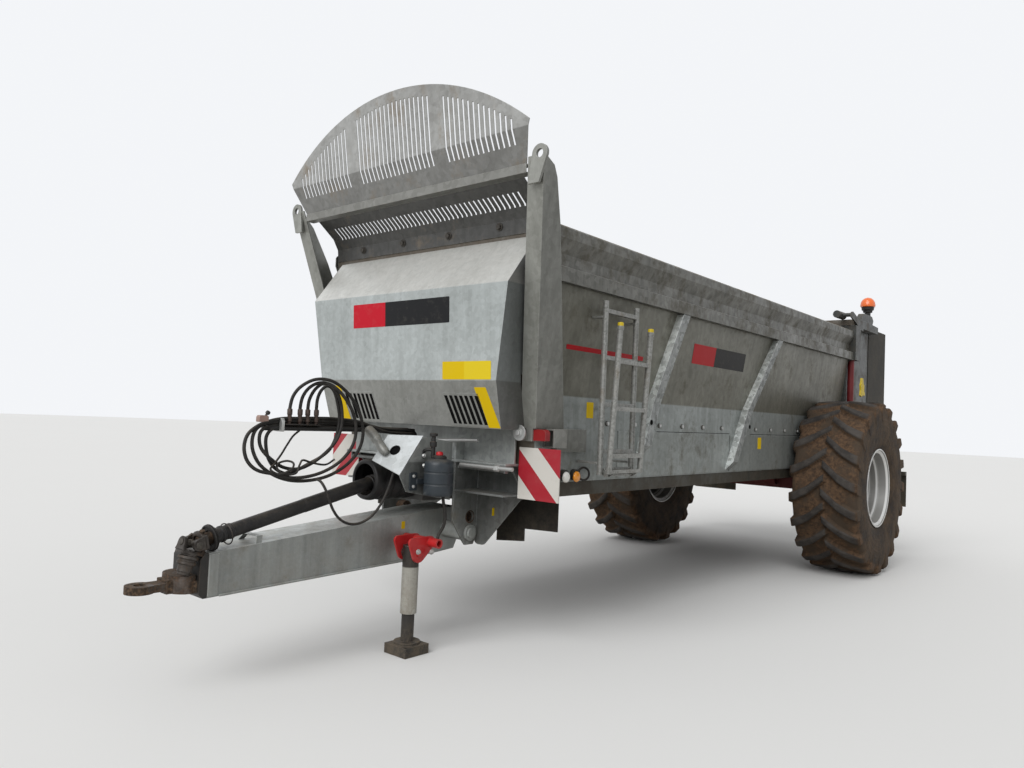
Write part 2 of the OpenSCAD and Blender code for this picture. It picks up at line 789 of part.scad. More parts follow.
module shaft_frame() {
    translate([0, joint_y, shaft_z]) rotate([shaft_slope, 0, shaft_yaw]) children();
}
front_joint = -(shaft_len + 140);
ring_r = 50;
module drive_shaft() {
    color("black") place() {
        difference() {
            union() {
                tube_z(shaft_z - eye_half, shaft_z + eye_half, 0, joint_y, joint_eye_r);
                shaft_frame() tube_y(-60, 0, 0, 0, 20);
            }
            tube_z(shaft_z - fork_in, shaft_z + fork_in, 0, joint_y, joint_pin_r + fit);
        }
        shaft_frame() {
            rotate([90, 0, 0]) rotate_extrude()
                polygon([[0, 50], [58, 50], [62, 60], [62, 150], [shaft_r + 8, 170], [shaft_r + 8, 560],
                    [shaft_r, 562], [shaft_r, shaft_len + 25], [ring_r, shaft_len + 30], [ring_r, shaft_len + 60],
                    [0, shaft_len + 60]]);
            // The shaft's half of the front joint
            both_sides() box([fork_in, front_joint - 18, -22], [fork_out, front_joint + 80, 22]);
            tube_x(-fork_out, fork_out, front_joint, 0, joint_pin_r);
        }
    }
}
yoke_droop = 62;
yoke_len = 150;
module shaft_yoke() {
    color("saddlebrown") place() shaft_frame() translate([0, front_joint, 0]) rotate([yoke_droop, 0, 0])
        difference() {
            union() {
                tube_x(-eye_half, eye_half, 0, 0, joint_eye_r);
                tube_y(-yoke_len, 0, 0, 0, 22);
                tube_y(-yoke_len, -70, 0, 0, 34);
            }
            tube_x(-eye_half - 1, eye_half + 1, 0, 0, joint_pin_r + fit);
            tube_y(-yoke_len - 10, -60, 0, 0, spline_r);
        }
}
module driveline() {
    color("dimgray") place() {
        tube_y(130 + seat, beater_y - rear_box_reach - seat, 0, drive_z, 30);
    }
}

// Hydraulics
tank = [400, -300];
tank_r = 80;
service_x = hitch_half - hitch_t;
// Place and lean of the slanted plate
plate_y = -340;
plate_z = 1080;
plate_lean = 14;
module service_bracket() {
    color("silver") place() {
        // The plate ahead of the hitch plate, and the slanted plate that it carries
        along_x(service_x, service_x + 8)
            polygon([[hitch_front - seat, 1150], [-330, 1180], [-380, 1120], [-340, 900], [hitch_front - seat, 960]]);
        difference() {
            translate([service_x, plate_y, plate_z]) rotate([-plate_lean, 0, 0]) along_y(-8, 0)
                polygon([[-200, -45], [-135, -100], [-60, -165], [0, -165], [0, 95], [-200, 95]]);
            tube_y(-450, -200, service_x - 80, 1125, 24);
        }
        box([service_x + 8, -330, 900], [tank[0] - tank_r + 14, -270, 960]);
    }
}
module reservoir() {
    color("slategray") place() difference() {
        union() {
            tube_z(862, 1085, tank[0], tank[1], tank_r);
            tube_z(1085, 1098, tank[0], tank[1], tank_r - 14);
            tube_z(1098, 1140, tank[0], tank[1], 26);
        }
        box([service_x, -331, 899], [tank[0] - tank_r + 14 + seat, -269, 961]);
    }
}
coil_x = 60;
coil_y = -880;
coil_z = 1180;
coil_r = 235;
coil_s = 45;
arm_x = -40;
arm_z = 1205;
// Where the coil crosses the height of the arm
clip_y = sqrt(coil_r * coil_r - (arm_z - coil_z) * (arm_z - coil_z));
arm_r = 16;
arm_front = -1130;
arm_back = -70;
module hose_holder() {
    color("dimgray") place() {
        tube_y(arm_front, arm_back, arm_x, arm_z, arm_r);
        box([arm_x - 22, arm_back - 8, shelf_z + shelf_t], [arm_x + 22, arm_back, arm_z + 22]);
        // The plate that parks the couplers
        box([arm_x - 30, -1020, arm_z + 14], [arm_x + 30, -800, arm_z + 20]);
        for (i = [0:3])
            tube_z(arm_z + 14, arm_z + 95, arm_x, -990 + i * 54, 15);
        // The clips that carry the coil
        for (s = [-1, 1])
            box([arm_x + 8, coil_y + s * clip_y - 12, arm_z - 12], [coil_x - coil_s - seat, coil_y + s * clip_y + 12, arm_z + 12]);
    }
}
module hose_coil() {
    color("black") place() translate([coil_x, coil_y, coil_z]) rotate([0, 90, 0])
        rotate_extrude($fn = 48) translate([coil_r, 0]) circle(r = coil_s, $fn = 16);
}
// A round cord swept along its points
function tangent(p, i) =
    unit(p[min(i + 1, len(p) - 1)] - p[max(i - 1, 0)]);
function ring(c, t, r, n) =
    let (a = unit(cross(abs(t[2]) > 0.9 ? [1, 0, 0] : [0, 0, 1], t)), b = cross(t, a))
    [for (k = [0:n - 1]) c + r * (cos(k * 360 / n) * a + sin(k * 360 / n) * b)];
module cord(p, r, n = 8) {
    rings = [for (i = [0:len(p) - 1]) ring(p[i], tangent(p, i), r, n)];
    m = len(p);
    polyhedron(
        points = [for (g = rings) for (q = g) q],
        faces = concat(
            [[for (k = [0:n - 1]) k]],
            [for (i = [0:m - 2]) for (k = [0:n - 1]) [i * n + k, (i + 1) * n + k, (i + 1) * n + (k + 1) % n]],
            [for (i = [0:m - 2]) for (k = [0:n - 1]) [i * n + k, (i + 1) * n + (k + 1) % n, i * n + (k + 1) % n]],
            [[for (k = [n - 1:-1:0]) (m - 1) * n + k]]));
}
cable_route = [[105.3, -880, 945], [128, -879, 941], [150, -876, 927], [167, -870, 904], [178, -861, 873],
    [184, -848, 836], [187, -828, 795], [190, -799, 757], [192, -762, 730], [195, -722, 716], [198, -680, 714],
    [202, -638, 724], [207, -598, 746], [212, -566, 776], [218, -541, 812], [224, -522, 850], [230, -508, 888],
    [236, -498, 925], [241, -490, 962], [246, -482, 998], [250, -470, 1030], [254, -450, 1055], [257, -425, 1068],
    [258, -402, 1069.5], [258, -377.8, 1064.5], [258, -353.6, 1058.5]];
module cable_loop() {
    color("black") place() cord(cable_route, 7);
}
jack_route = [[400, -260, 860.8], [401, -258, 838], [404, -254, 812], [407, -250, 786], [410, -248, 760],
    [411, -247, 735], [409, -248, 711], [404, -251, 690], [397, -256, 672], [390, -261, 658], [385, -265, 645],
    [383, -268, 625.8]];
module jack_hose() {
    color("black") place() cord(jack_route, 9);
}

// Signals
board = 282;
board_x = body_half + 38;
board_z = 1003;
board_t = 6;
module marker_boards() {
    color("red") place() both_sides() {
        box([board_x - board / 2, 20, board_z - board / 2], [board_x + board / 2, 20 + board_t, board_z + board / 2]);
        box([wall_x - 50, 20 + board_t, board_z - 60], [wall_x - 10, hitch_back, board_z - 20]);
    }
}
lamp_r = 32;
module front_lamps() {
    color("orange") place() both_sides()
        for (y = [286, 388])
            tube_x(body_half, body_half + 26, y, 990, lamp_r);
}

// Ladder
ladder_x = body_half + 150;
ladder_y = 440;
ladder_foot = 1000;
ladder_head = 2000;
hinge_x = ladder_x + 30;
hinge_r = 8;
module ladder() {
    color("lightgray") place() {
        for (y = [ladder_y, ladder_y + ladder_w]) {
            tube_z(ladder_foot, ladder_head, ladder_x, y, stile_r);
            box([body_half, y - 20, 1060], [ladder_x - 10, y + 20, 1072]);
            box([wall_out(1912), y - 20, 1900], [ladder_x - 10, y + 20, 1912]);
        }
        for (i = [0:3])
            box([ladder_x - 14, ladder_y, ladder_foot + 120 + i * rung_pitch],
                [ladder_x + 14, ladder_y + ladder_w, ladder_foot + 144 + i * rung_pitch]);
        // The foot bar with the hinge ears and pin of the folding step
        box([ladder_x - 12, ladder_y, ladder_foot + 14], [ladder_x + 12, ladder_y + ladder_w, ladder_foot + 38]);
        for (y = [ladder_y + 22, ladder_y + ladder_w - 30])
            along_y(y, y + 8) polygon([[ladder_x - 10, ladder_foot + 14], [hinge_x - 12, ladder_foot - 12],
                [hinge_x + 12, ladder_foot - 12], [hinge_x + 12, ladder_foot + 12], [ladder_x + 12, ladder_foot + 38]]);
        tube_y(ladder_y + 22, ladder_y + ladder_w - 22, hinge_x, ladder_foot, hinge_r);
    }
}
step_len = 830;
module ladder_step() {
    color("lightgray") place() translate([hinge_x, 0, ladder_foot]) rotate([0, 3, 0]) {
        for (y = [ladder_y, ladder_y + ladder_w]) {
            tube_z(10, step_len, 30, y, stile_r);
            tube_z(step_len, step_len + 22, 30, y, stile_r + 3);
        }
        for (i = [0:2])
            box([18, ladder_y, 100 + i * rung_pitch], [42, ladder_y + ladder_w, 124 + i * rung_pitch]);
        box([18, ladder_y, 12], [42, ladder_y + ladder_w, 32]);
        for (y = [ladder_y + 36, ladder_y + ladder_w - 44])
            difference() {
                along_y(y, y + 8) polygon([[-12, -6], [-4, -13], [10, -12], [42, 12], [18, 32], [-8, 12]]);
                tube_y(y - 10, y + 20, 0, 0, hinge_r + fit);
            }
    }
}

// Floor chains and their shafts
chain_x = 360;
chain_w = 30;
chain_in = 26;
chain_out = 38;
slat_pitch = 415;
slat_half = wall_x - 40;
slat_h = 25;
slat_w = 50;
module loop_outline(r) {
    hull() {
        translate([chain_front, chain_shaft_z]) circle(r = r);
        translate([chain_rear, chain_shaft_z]) circle(r = r);
    }
}
module floor_chains() {
    color("dimgray") place() {
        both_sides() difference() {
            union() {
                tube_x(chain_x - chain_w / 2, chain_x + chain_w / 2, chain_front, chain_shaft_z, chain_out);
                tube_x(chain_x - chain_w / 2, chain_x + chain_w / 2, chain_rear, chain_shaft_z, chain_out);
                box([chain_x - chain_w / 2, chain_front, chain_shaft_z - chain_out],
                    [chain_x + chain_w / 2, chain_rear, chain_shaft_z + chain_out]);
            }
            tube_x(chain_x - 20, chain_x + 20, chain_front, chain_shaft_z, chain_in);
            tube_x(chain_x - 20, chain_x + 20, chain_rear, chain_shaft_z, chain_in);
            box([chain_x - 20, chain_front, chain_shaft_z - chain_in], [chain_x + 20, chain_rear, chain_shaft_z + chain_in]);
        }
        for (y = [chain_front + 130:slat_pitch:chain_rear - 60])
            box([-slat_half, y, floor_z + seat], [slat_half, y + slat_w, floor_z + slat_h]);
        for (y = [chain_front + 200:slat_pitch:chain_rear - 60])
            box([-slat_half, y, chain_shaft_z - chain_out - 10], [slat_half, y + slat_w, chain_shaft_z - chain_in]);
    }
}
module chain_shafts() {
    color("dimgray") place()
        for (y = [chain_front, chain_rear])
            tube_x(-wall_x, wall_x, y, chain_shaft_z, chain_in - seat);
}

// Spreading unit
unit_y = body_len;
jamb_t = 10;
door_y = unit_y + jamb_t + clear;
door_t = 8;
keeper_y = door_y + door_t + clear;
beater_y = keeper_y + 20 + beater_r;
side_x = body_half + 60;
side_t = 8;
top_beam_z = unit_top_z - 110;
disc_z = 1000;
low_beam_z = 860;
low_beam_top = 940;
bearing_r = 30;
// Height over which the unit is wider than the tyres' gap, and its lower front edge
wide_z = 1350;
jamb_in = wall_x - 14;
jamb_out = body_half + 20;
end_x = rail_out + 24;
end_t = 6;
module rear_frame() {
    color("silver") place() {
        both_sides() {
            along_x(side_x, side_x + side_t)
                polygon([[unit_y, wide_z], [axle_y + tyre_r + 20, 1110], [axle_y + tyre_r + 20, skirt_z],
                    [axle_y + tyre_r + 80, low_beam_z], [unit_y + unit_len, low_beam_z], [unit_y + unit_len, unit_top_z],
                    [unit_y, unit_top_z]]);
            // The jamb that closes the end of the wall, and the keeper behind the door
            along_y(unit_y, unit_y + jamb_t)
                polygon([[jamb_in, skirt_z], [jamb_out, skirt_z], [jamb_out, wide_z + 10], [side_x + side_t, wide_z + 20],
                    [side_x + side_t, rail_z - 170], [flare_x, rail_z - 10], [rail_out, rail_z], [end_x, rail_z],
                    [end_x, unit_top_z], [jamb_in, unit_top_z]]);
            along_y(keeper_y, keeper_y + 8)
                polygon([[jamb_in, skirt_z], [jamb_out + 2, skirt_z], [jamb_out + 2, wide_z + 10], [side_x, wide_z + 20],
                    [side_x, unit_top_z], [jamb_in, unit_top_z]]);
            // The end post of the rail, a channel around the cylinder's head
            box([end_x - end_t, unit_y, rail_z], [end_x, unit_y + 150, unit_top_z]);
            box([side_x + side_t, unit_y + 150 - end_t, rail_z], [end_x, unit_y + 150, unit_top_z]);
        }
        difference() {
            box([-side_x, beater_y - 60, top_beam_z], [side_x, beater_y + 60, unit_top_z]);
            both_sides() tube_z(top_beam_z - 1, top_beam_z + 60, beater_x, beater_y, bearing_r + fit);
        }
    }
}
module rear_shields() {
    color("dimgray") place() both_sides()
        box([side_x + side_t, unit_y + unit_len - 60, 960],
            [side_x + side_t + 6, unit_y + unit_len + shield_len, unit_top_z + 60]);
}
rear_box_reach = 140;
module rear_gearbox() {
    color("dimgray") place() {
        box([-side_x, beater_y - 100, low_beam_z], [side_x, beater_y + 100, low_beam_top]);
        box([-120, beater_y - rear_box_reach, low_beam_z], [120, beater_y, 980]);
        both_sides() difference() {
            tube_z(low_beam_top, disc_z - clear, beater_x, beater_y, 110);
            tube_z(low_beam_top + 5, disc_z, beater_x, beater_y, bearing_r + fit);
        }
    }
}
// The flight of a beater: a strip that winds up around its tube
flight_steps = 40;
flight_foot = 1040;
flight_head = 2240;
flight_turn = 540;
module flight() {
    m = flight_steps;
    section = [[core_r - 8, -5], [beater_r - 22, -5], [beater_r - 22, 5], [core_r - 8, 5]];
    polyhedron(
        points = [for (i = [0:m]) let (a = flight_turn * i / m, z = flight_foot + (flight_head - flight_foot) * i / m)
            for (q = section) [q[0] * cos(a), q[0] * sin(a), z + 2 * q[1]]],
        faces = concat([[0, 2, 1], [0, 3, 2]],
            [for (i = [0:m - 1]) for (k = [0:3]) [(i + 1) * 4 + (k + 1) % 4, (i + 1) * 4 + k, i * 4 + k]],
            [for (i = [0:m - 1]) for (k = [0:3]) [i * 4 + (k + 1) % 4, (i + 1) * 4 + (k + 1) % 4, i * 4 + k]],
            [[m * 4, m * 4 + 1, m * 4 + 2], [m * 4, m * 4 + 2, m * 4 + 3]]));
}
module beater(s) {
    place() side(s) translate([beater_x, beater_y, 0]) {
        tube_z(disc_z, top_beam_z - 40, 0, 0, core_r);
        tube_z(disc_z - 45, top_beam_z + 50, 0, 0, bearing_r);
        tube_z(disc_z, disc_z + 12, 0, 0, beater_r);
        flight();
    }
}
module beater_left() {
    color("gray") beater(1);
}
module beater_right() {
    color("gray") beater(-1);
}
door_half = jamb_out - clear;
door_top = unit_top_z + clear;
cyl_x = side_x + side_t + 37;
cyl_y = unit_y + jamb_t + 35;
cyl_r = 32;
rod_r = 18;
cyl_foot = 1316;
cyl_top = 2350;
module rear_door() {
    color("silver") place() {
        box([-door_half, door_y, floor_z + slat_h + clear], [door_half, door_y + door_t, door_top + 10]);
        box([-cyl_x - 30, door_y, door_top], [cyl_x + 30, cyl_y + 25, door_top + 60]);
    }
}
module door_cylinders() {
    color("red") place() both_sides() {
        difference() {
            tube_z(cyl_foot, cyl_top, cyl_x, cyl_y, cyl_r);
            tube_z(cyl_foot + 20, cyl_top + 20, cyl_x, cyl_y, rod_r + fit);
        }
        box([side_x + side_t, cyl_y - 30, cyl_foot - 16], [cyl_x + 30, cyl_y + 30, cyl_foot]);
        box([side_x + side_t, cyl_y - 20, cyl_top - 90], [cyl_x - cyl_r + 6, cyl_y + 20, cyl_top - 40]);
    }
}
module door_rods() {
    color("silver") place() both_sides() tube_z(cyl_foot + 30, door_top, cyl_x, cyl_y, rod_r);
}
light_y = unit_y + unit_len + 100;
module rear_lights() {
    color("dimgray") place() both_sides() {
        box([700, light_y, 520], [1250, light_y + 8, 900]);
        box([side_x + side_t + 6, unit_y + unit_len - 40, 880], [side_x + side_t + 56, light_y, 960]);
        box([side_x + side_t + 6, light_y - 50, 860], [1250, light_y, 900]);
        box([side_x + side_t + 6, unit_y + unit_len - 50, 960], [side_x + side_t + 14, unit_y + unit_len, 1020]);
    }
}
module beacon() {
    color("orange") place() translate([side_x + side_t / 2, unit_y + unit_len - 100, unit_top_z]) {
        tube_z(0, 220, 0, 0, 12);
        tube_z(220, 330, 0, 0, 62);
    }
}

chassis();
front_flaps();
hitch_frame();
drawbar();
towing_head();
towing_eye();
floor();
front_wall();
wall_left();
wall_right();
top_rail_left();
top_rail_right();
side_ribs();
post_left();
post_right();
post_shoes();
crossbeam();
headboard();
hood();
axle();
hub_left();
hub_right();
tyre_left();
tyre_right();
rim_left();
rim_right();
jack_bracket();
jack_tube();
jack_leg();
input_gearbox();
guard_cone();
drive_shaft();
shaft_yoke();
driveline();
service_bracket();
reservoir();
hose_holder();
hose_coil();
cable_loop();
jack_hose();
marker_boards();
front_lamps();
ladder();
ladder_step();
floor_chains();
chain_shafts();
rear_frame();
rear_shields();
rear_gearbox();
beater_left();
beater_right();
rear_door();
door_cylinders();
door_rods();
rear_lights();
beacon();
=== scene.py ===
import bpy
import math
import numpy as np
from mathutils import Matrix


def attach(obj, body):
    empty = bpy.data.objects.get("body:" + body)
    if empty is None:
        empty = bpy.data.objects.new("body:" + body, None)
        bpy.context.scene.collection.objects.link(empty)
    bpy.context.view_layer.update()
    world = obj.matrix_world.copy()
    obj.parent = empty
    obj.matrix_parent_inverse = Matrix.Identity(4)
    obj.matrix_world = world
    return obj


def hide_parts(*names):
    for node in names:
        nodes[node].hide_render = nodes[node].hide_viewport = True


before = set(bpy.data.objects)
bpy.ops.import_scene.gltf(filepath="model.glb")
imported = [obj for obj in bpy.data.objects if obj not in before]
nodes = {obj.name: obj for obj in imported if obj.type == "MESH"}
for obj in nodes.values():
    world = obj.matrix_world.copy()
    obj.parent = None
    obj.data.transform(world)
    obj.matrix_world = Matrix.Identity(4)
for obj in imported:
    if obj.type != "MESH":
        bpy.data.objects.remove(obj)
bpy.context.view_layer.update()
zero, xWay, yWay, zWay = (0, 0, 0), (1, 0, 0), (0, 1, 0), (0, 0, 1)
axlePlace = (1.122, 2.07, 0.8)      # middle of the left wheel
print("frame loaded with", len(nodes), "nodes")


def unit(v):
    v = np.asarray(v, float)
    return v / np.linalg.norm(v, axis=-1, keepdims=True)


def buildPiece(name, points, faces, material, body="frame", slot=None, sharp=35):
    # points are rows of x, y, z in metres; faces are rows of point numbers, seen from outside against the clock
    mesh = bpy.data.meshes.new(name)
    mesh.from_pydata(np.asarray(points, float).tolist(), [], faces)
    mesh.polygons.foreach_set("use_smooth", np.ones(len(mesh.polygons), bool))
    mesh.set_sharp_from_angle(angle=math.radians(sharp))
    mesh.materials.append(material)
    piece = bpy.data.objects.new(name, mesh)
    bpy.context.scene.collection.objects.link(piece)
    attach(piece, body)
    return piece


def buildSides(parts, body=None, **more):
    # each part on the machine's left, then the mirror image of each on its right; a part is shape, finish and slot
    made = {}
    for side in ("left", "right"):
        for name, (shape, look, slot) in parts.items():
            shape = shape if side == "left" else mirrored(*shape)
            key = name + side.title()
            made[key] = buildPiece(key, *shape, finish[look], body + side if body else "frame", slot, **more)
    return made


def joinShapes(shapes):
    # each shape is points and faces; the face numbers move on by the points already taken
    points, faces, taken = [], [], 0
    for p, f in shapes:
        points.append(np.asarray(p, float))
        faces += [[n + taken for n in row] for row in f]
        taken += len(p)
    return np.vstack(points), faces


def mirrored(points, faces):
    # the same shape on the machine's other side: x changes sign and each face turns round
    return np.asarray(points, float) * [-1, 1, 1], [row[::-1] for row in faces]


def gridFaces(rows, columns, wrapRows=False):
    # the four-sided faces between the rows and columns of a grid of points that closes round its columns
    i = np.arange(rows if wrapRows else rows - 1)[:, None]
    j = np.arange(columns)[None, :]
    nextI, nextJ = (i + 1) % rows, (j + 1) % columns
    corners = [i * columns + j, i * columns + nextJ, nextI * columns + nextJ, nextI * columns + j]
    return np.stack(corners, -1).reshape(-1, 4).tolist()


def endFaces(count, total):
    # the two caps of a grid with that many points in a ring and in all
    return [list(range(count - 1, -1, -1)), list(range(total - count, total))]


def smoothRoute(points, spacing):
    # a cubic between each pair of points, whose slope at a point is half the step between its neighbours,
    # then read again at even steps along its length
    p = np.asarray(points, float)
    q = np.vstack([2 * p[0] - p[1], p, 2 * p[-1] - p[-2]])
    t = np.linspace(0, 1, 24, endpoint=False)[None, :, None]
    a, b, c, d = (q[k:len(q) - 3 + k, None] for k in range(4))
    curve = 0.5 * (2 * b + (c - a) * t + (2 * a - 5 * b + 4 * c - d) * t ** 2 + (3 * b - a - 3 * c + d) * t ** 3)
    curve = np.vstack([curve.reshape(-1, p.shape[1]), p[-1:]])
    along = np.concatenate([[0], np.cumsum(np.linalg.norm(np.diff(curve, axis=0), axis=1))])
    even = np.linspace(0, along[-1], max(3, int(round(along[-1] / spacing)) + 1))
    return np.stack([np.interp(even, along, curve[:, k]) for k in range(p.shape[1])], 1)


def routeLength(path):
    return float(np.linalg.norm(np.diff(path, axis=0), axis=1).sum())


def tubeAlong(path, radius, sides=12):
    # ring point = path point + radius * (cos a * side + sin a * across);
    # the side is carried along and kept square to the path
    path = np.asarray(path, float)
    ahead = unit(np.gradient(path, axis=0))
    side = np.empty_like(path)
    held = np.cross(ahead[0], [0.31, 0.17, 0.94])
    for i in range(len(path)):
        held = unit(held - ahead[i] * (held @ ahead[i]))
        side[i] = held
    across = np.cross(ahead, side)
    a = np.linspace(0, 2 * np.pi, sides, endpoint=False)[None, :, None]
    r = np.broadcast_to(np.asarray(radius, float), (len(path),))[:, None, None]
    points = path[:, None] + r * (np.cos(a) * side[:, None] + np.sin(a) * across[:, None])
    return points.reshape(-1, 3), gridFaces(len(path), sides) + endFaces(sides, len(path) * sides)


def turnProfile(profile, centre, axis, segments, start=None, closed=False):
    # point = centre + along * axis + radius * (cos a * first + sin a * second), for each row (along, radius)
    profile = np.asarray(profile, float)
    axis = unit(axis)
    first = unit(np.cross(axis, start if start is not None else (zWay if abs(axis[2]) < 0.9 else xWay)))
    second = np.cross(axis, first)
    a = np.linspace(0, 2 * np.pi, segments, endpoint=False)[None, :, None]
    points = (np.asarray(centre, float) + profile[:, None, :1] * axis
        + profile[:, None, 1:] * (np.cos(a) * first + np.sin(a) * second))
    faces = gridFaces(len(profile), segments, wrapRows=closed)
    return points.reshape(-1, 3), faces if closed else faces + endFaces(segments, len(profile) * segments)


def circle(radius, sides, middle=(0.0, 0.0)):
    # the points of a round section: middle + radius * (sin a, cos a)
    a = np.linspace(0, 2 * np.pi, sides, endpoint=False)
    return np.stack([middle[0] + radius * np.sin(a), middle[1] + radius * np.cos(a)], 1)


def easedCorners(profile, reach, steps=3):
    # each corner b of a closed outline becomes a short curve, b + (1-t)^2 * (a-b) + t^2 * (c-b), with a and c near it
    b = np.asarray(profile, float)
    toA, toC = np.roll(b, 1, 0) - b, np.roll(b, -1, 0) - b
    lengthA, lengthC = np.linalg.norm(toA, axis=1, keepdims=True), np.linalg.norm(toC, axis=1, keepdims=True)
    a = toA / lengthA * np.minimum(reach, 0.4 * lengthA)
    c = toC / lengthC * np.minimum(reach, 0.4 * lengthC)
    t = np.linspace(0, 1, steps)[None, :, None]
    return (b[:, None] + (1 - t) ** 2 * a[:, None] + t ** 2 * c[:, None]).reshape(-1, b.shape[1])


def outlinePlate(outline, origin, across, upward, thickness, ease=0.0):
    # a flat outline carried off along its own normal: point = origin + u * across + v * upward + w * normal;
    # the far face is a little smaller, which leaves a fine slanted edge round it
    outline = np.asarray(outline, float)
    if ease:
        outline = easedCorners(outline, ease)
    across = unit(across)
    normal = unit(np.cross(across, upward))
    upward = np.cross(normal, across)
    edge = min(0.0006, thickness / 3)
    middle = outline.mean(0)
    inner = middle + (outline - middle) * (1 - edge / np.abs(outline - middle).max())
    flat, raised = (np.asarray(origin, float) + o[:, :1] * across + o[:, 1:] * upward for o in (outline, inner))
    n = len(outline)
    points = np.vstack([flat, flat + normal * (thickness - edge), raised + normal * thickness])
    return points, gridFaces(3, n) + [list(range(2 * n, 3 * n)), list(range(n - 1, -1, -1))]


def sidePlate(outline, origin, thickness, ease=0.0):
    # rows of the outline are along the machine and up; the thickness goes to the machine's left
    return outlinePlate(outline, origin, yWay, zWay, thickness, ease)


def frontPlate(outline, origin, thickness, ease=0.0):
    # rows of the outline are to the machine's left and up; the thickness goes forwards
    return outlinePlate(outline, origin, xWay, zWay, thickness, ease)


def rectangle(width, height):
    return [(0, 0), (width, 0), (width, height), (0, height)]


def facingFrames(normals):
    # three square directions for each normal, as rows: two across it and itself
    n = unit(normals)
    lean = np.where(np.abs(n[:, 2:]) < 0.9, [[0.0, 0.0, 1.0]], [[0.0, 1.0, 0.0]])
    u = unit(np.cross(lean, n))
    return np.stack([u, np.cross(n, u), n], 1)


def repeatedShape(template, places, normals):
    # the template's points are turned to each normal and moved to each place, all at once
    points, faces = template
    places = np.asarray(places, float).reshape(-1, 3)
    normals = np.broadcast_to(np.asarray(normals, float), places.shape)
    spread = places[:, None] + points[None] @ facingFrames(normals)
    count = len(points)
    return spread.reshape(-1, 3), [[n + k * count for n in f] for k in range(len(places)) for f in faces]


def hexHead(across, height, washer=0.0, washerHeight=0.0):
    # a hexagon with a chamfered crown on a round washer: rings of six and fourteen points stacked along z
    r = across / math.sqrt(3)
    crown = [(washerHeight * 0.5, r), (washerHeight + height * 0.82, r), (washerHeight + height, r * 0.84)]
    parts = [turnProfile([(0, washer * 0.5), (washerHeight, washer * 0.5)], zero, zWay, 14)] if washer else []
    return joinShapes(parts + [turnProfile(crown, zero, zWay, 6)])


photoView = {
    "place": (3.420, -5.602, 1.306),
    "heading": 40.53,       # degrees from straight back towards the machine's right
    "lift": 2.466,
    "roll": 2.522,
    "focalPixels": 769.4,   # for a frame 1024 pixels wide
    "sensor": 36.0,
}


def makeCamera(s):
    a, e, r = (math.radians(s[k]) for k in ("heading", "lift", "roll"))
    ahead = np.array([-math.sin(a) * math.cos(e), math.cos(a) * math.cos(e), math.sin(e)])
    flat = np.array([math.cos(a), math.sin(a), 0.0])
    above = np.cross(flat, ahead)
    right = math.cos(r) * flat + math.sin(r) * above
    up = -math.sin(r) * flat + math.cos(r) * above
    data = bpy.data.cameras.new("photoCamera")
    data.sensor_width = s["sensor"]
    data.lens = s["focalPixels"] * s["sensor"] / 1024
    data.clip_end = 200
    camera = bpy.data.objects.new("photoCamera", data)
    camera.matrix_world = Matrix([[right[k], up[k], -ahead[k], s["place"][k]] for k in range(3)] + [[0, 0, 0, 1]])
    bpy.context.scene.collection.objects.link(camera)
    bpy.context.scene.camera = camera


makeCamera(photoView)
print("camera placed")


def setInputs(tree, node, inputs):
    # an input that is another node's output is linked, and any other is set; a colour is given as three numbers
    for key, value in inputs.items():
        socket = node.inputs[key]
        if isinstance(value, bpy.types.NodeSocket):
            tree.links.new(value, socket)
        else:
            socket.default_value = (*value, 1.0) if socket.type == "RGBA" else value
    return node


def put(tree, kind, inputs=None, **properties):
    made = tree.nodes.new("ShaderNode" + kind)
    for key, value in properties.items():
        setattr(made, key, value)
    return setInputs(tree, made, inputs or {})


def mixColors(tree, factor, first, second, blend="MIX"):
    return put(tree, "Mix", {0: factor, 6: first, 7: second}, data_type="RGBA", blend_type=blend).outputs[2]


def calc(tree, operation, first, second=0.0, clamp=False):
    return put(tree, "Math", {0: first, 1: second}, operation=operation, use_clamp=clamp).outputs[0]


def times(tree, first, second, clamp=False):
    return calc(tree, "MULTIPLY", first, second, clamp)


def plus(tree, first, second, clamp=False):
    return calc(tree, "ADD", first, second, clamp)


def minus(tree, first, second):
    return calc(tree, "SUBTRACT", first, second)


def weighted(tree, first, weight, second, secondWeight):
    return plus(tree, times(tree, first, weight), times(tree, second, secondWeight))


def ramp(tree, value, low, high, out0=0.0, out1=1.0):
    return put(tree, "MapRange", {"Value": value, "From Min": low, "From Max": high, "To Min": out0, "To Max": out1},
        interpolation_type="SMOOTHSTEP").outputs[0]


def objectPlace(tree):
    return put(tree, "TexCoord").outputs["Object"]


def axesOf(tree, vector=None):
    return put(tree, "SeparateXYZ", {0: vector or objectPlace(tree)}).outputs


def noise(tree, scale, detail, roughness=0.5, place=None):
    return put(tree, "TexNoise", {"Vector": place or objectPlace(tree), "Scale": scale, "Detail": detail,
        "Roughness": roughness}).outputs[0]


def seenItself(tree):
    # 1 where the surface is looked at, also in a mirror or through glass, and 0 for the light that it gives
    rays = put(tree, "LightPath").outputs
    seen = calc(tree, "MAXIMUM", rays["Is Camera Ray"], rays["Is Glossy Ray"])
    return calc(tree, "MAXIMUM", seen, rays["Is Transmission Ray"])


studio = {
    "skyLight": 0.56,
    "sunLight": 2.0,
    "sunFrom": (0.12, -0.78, 0.62),
    "sunSoftness": 45,      # degrees
    "backdrop": (0.90, 0.915, 0.94),
    "floorColor": (0.80, 0.80, 0.79),
    "floorPatch": 0.985,    # the patches are this much of the floor's colour
    "floorBounce": (0.42, 0.40, 0.36),
    "floorReach": 60, "floorSides": 96, "floorDrop": 0.001,
}


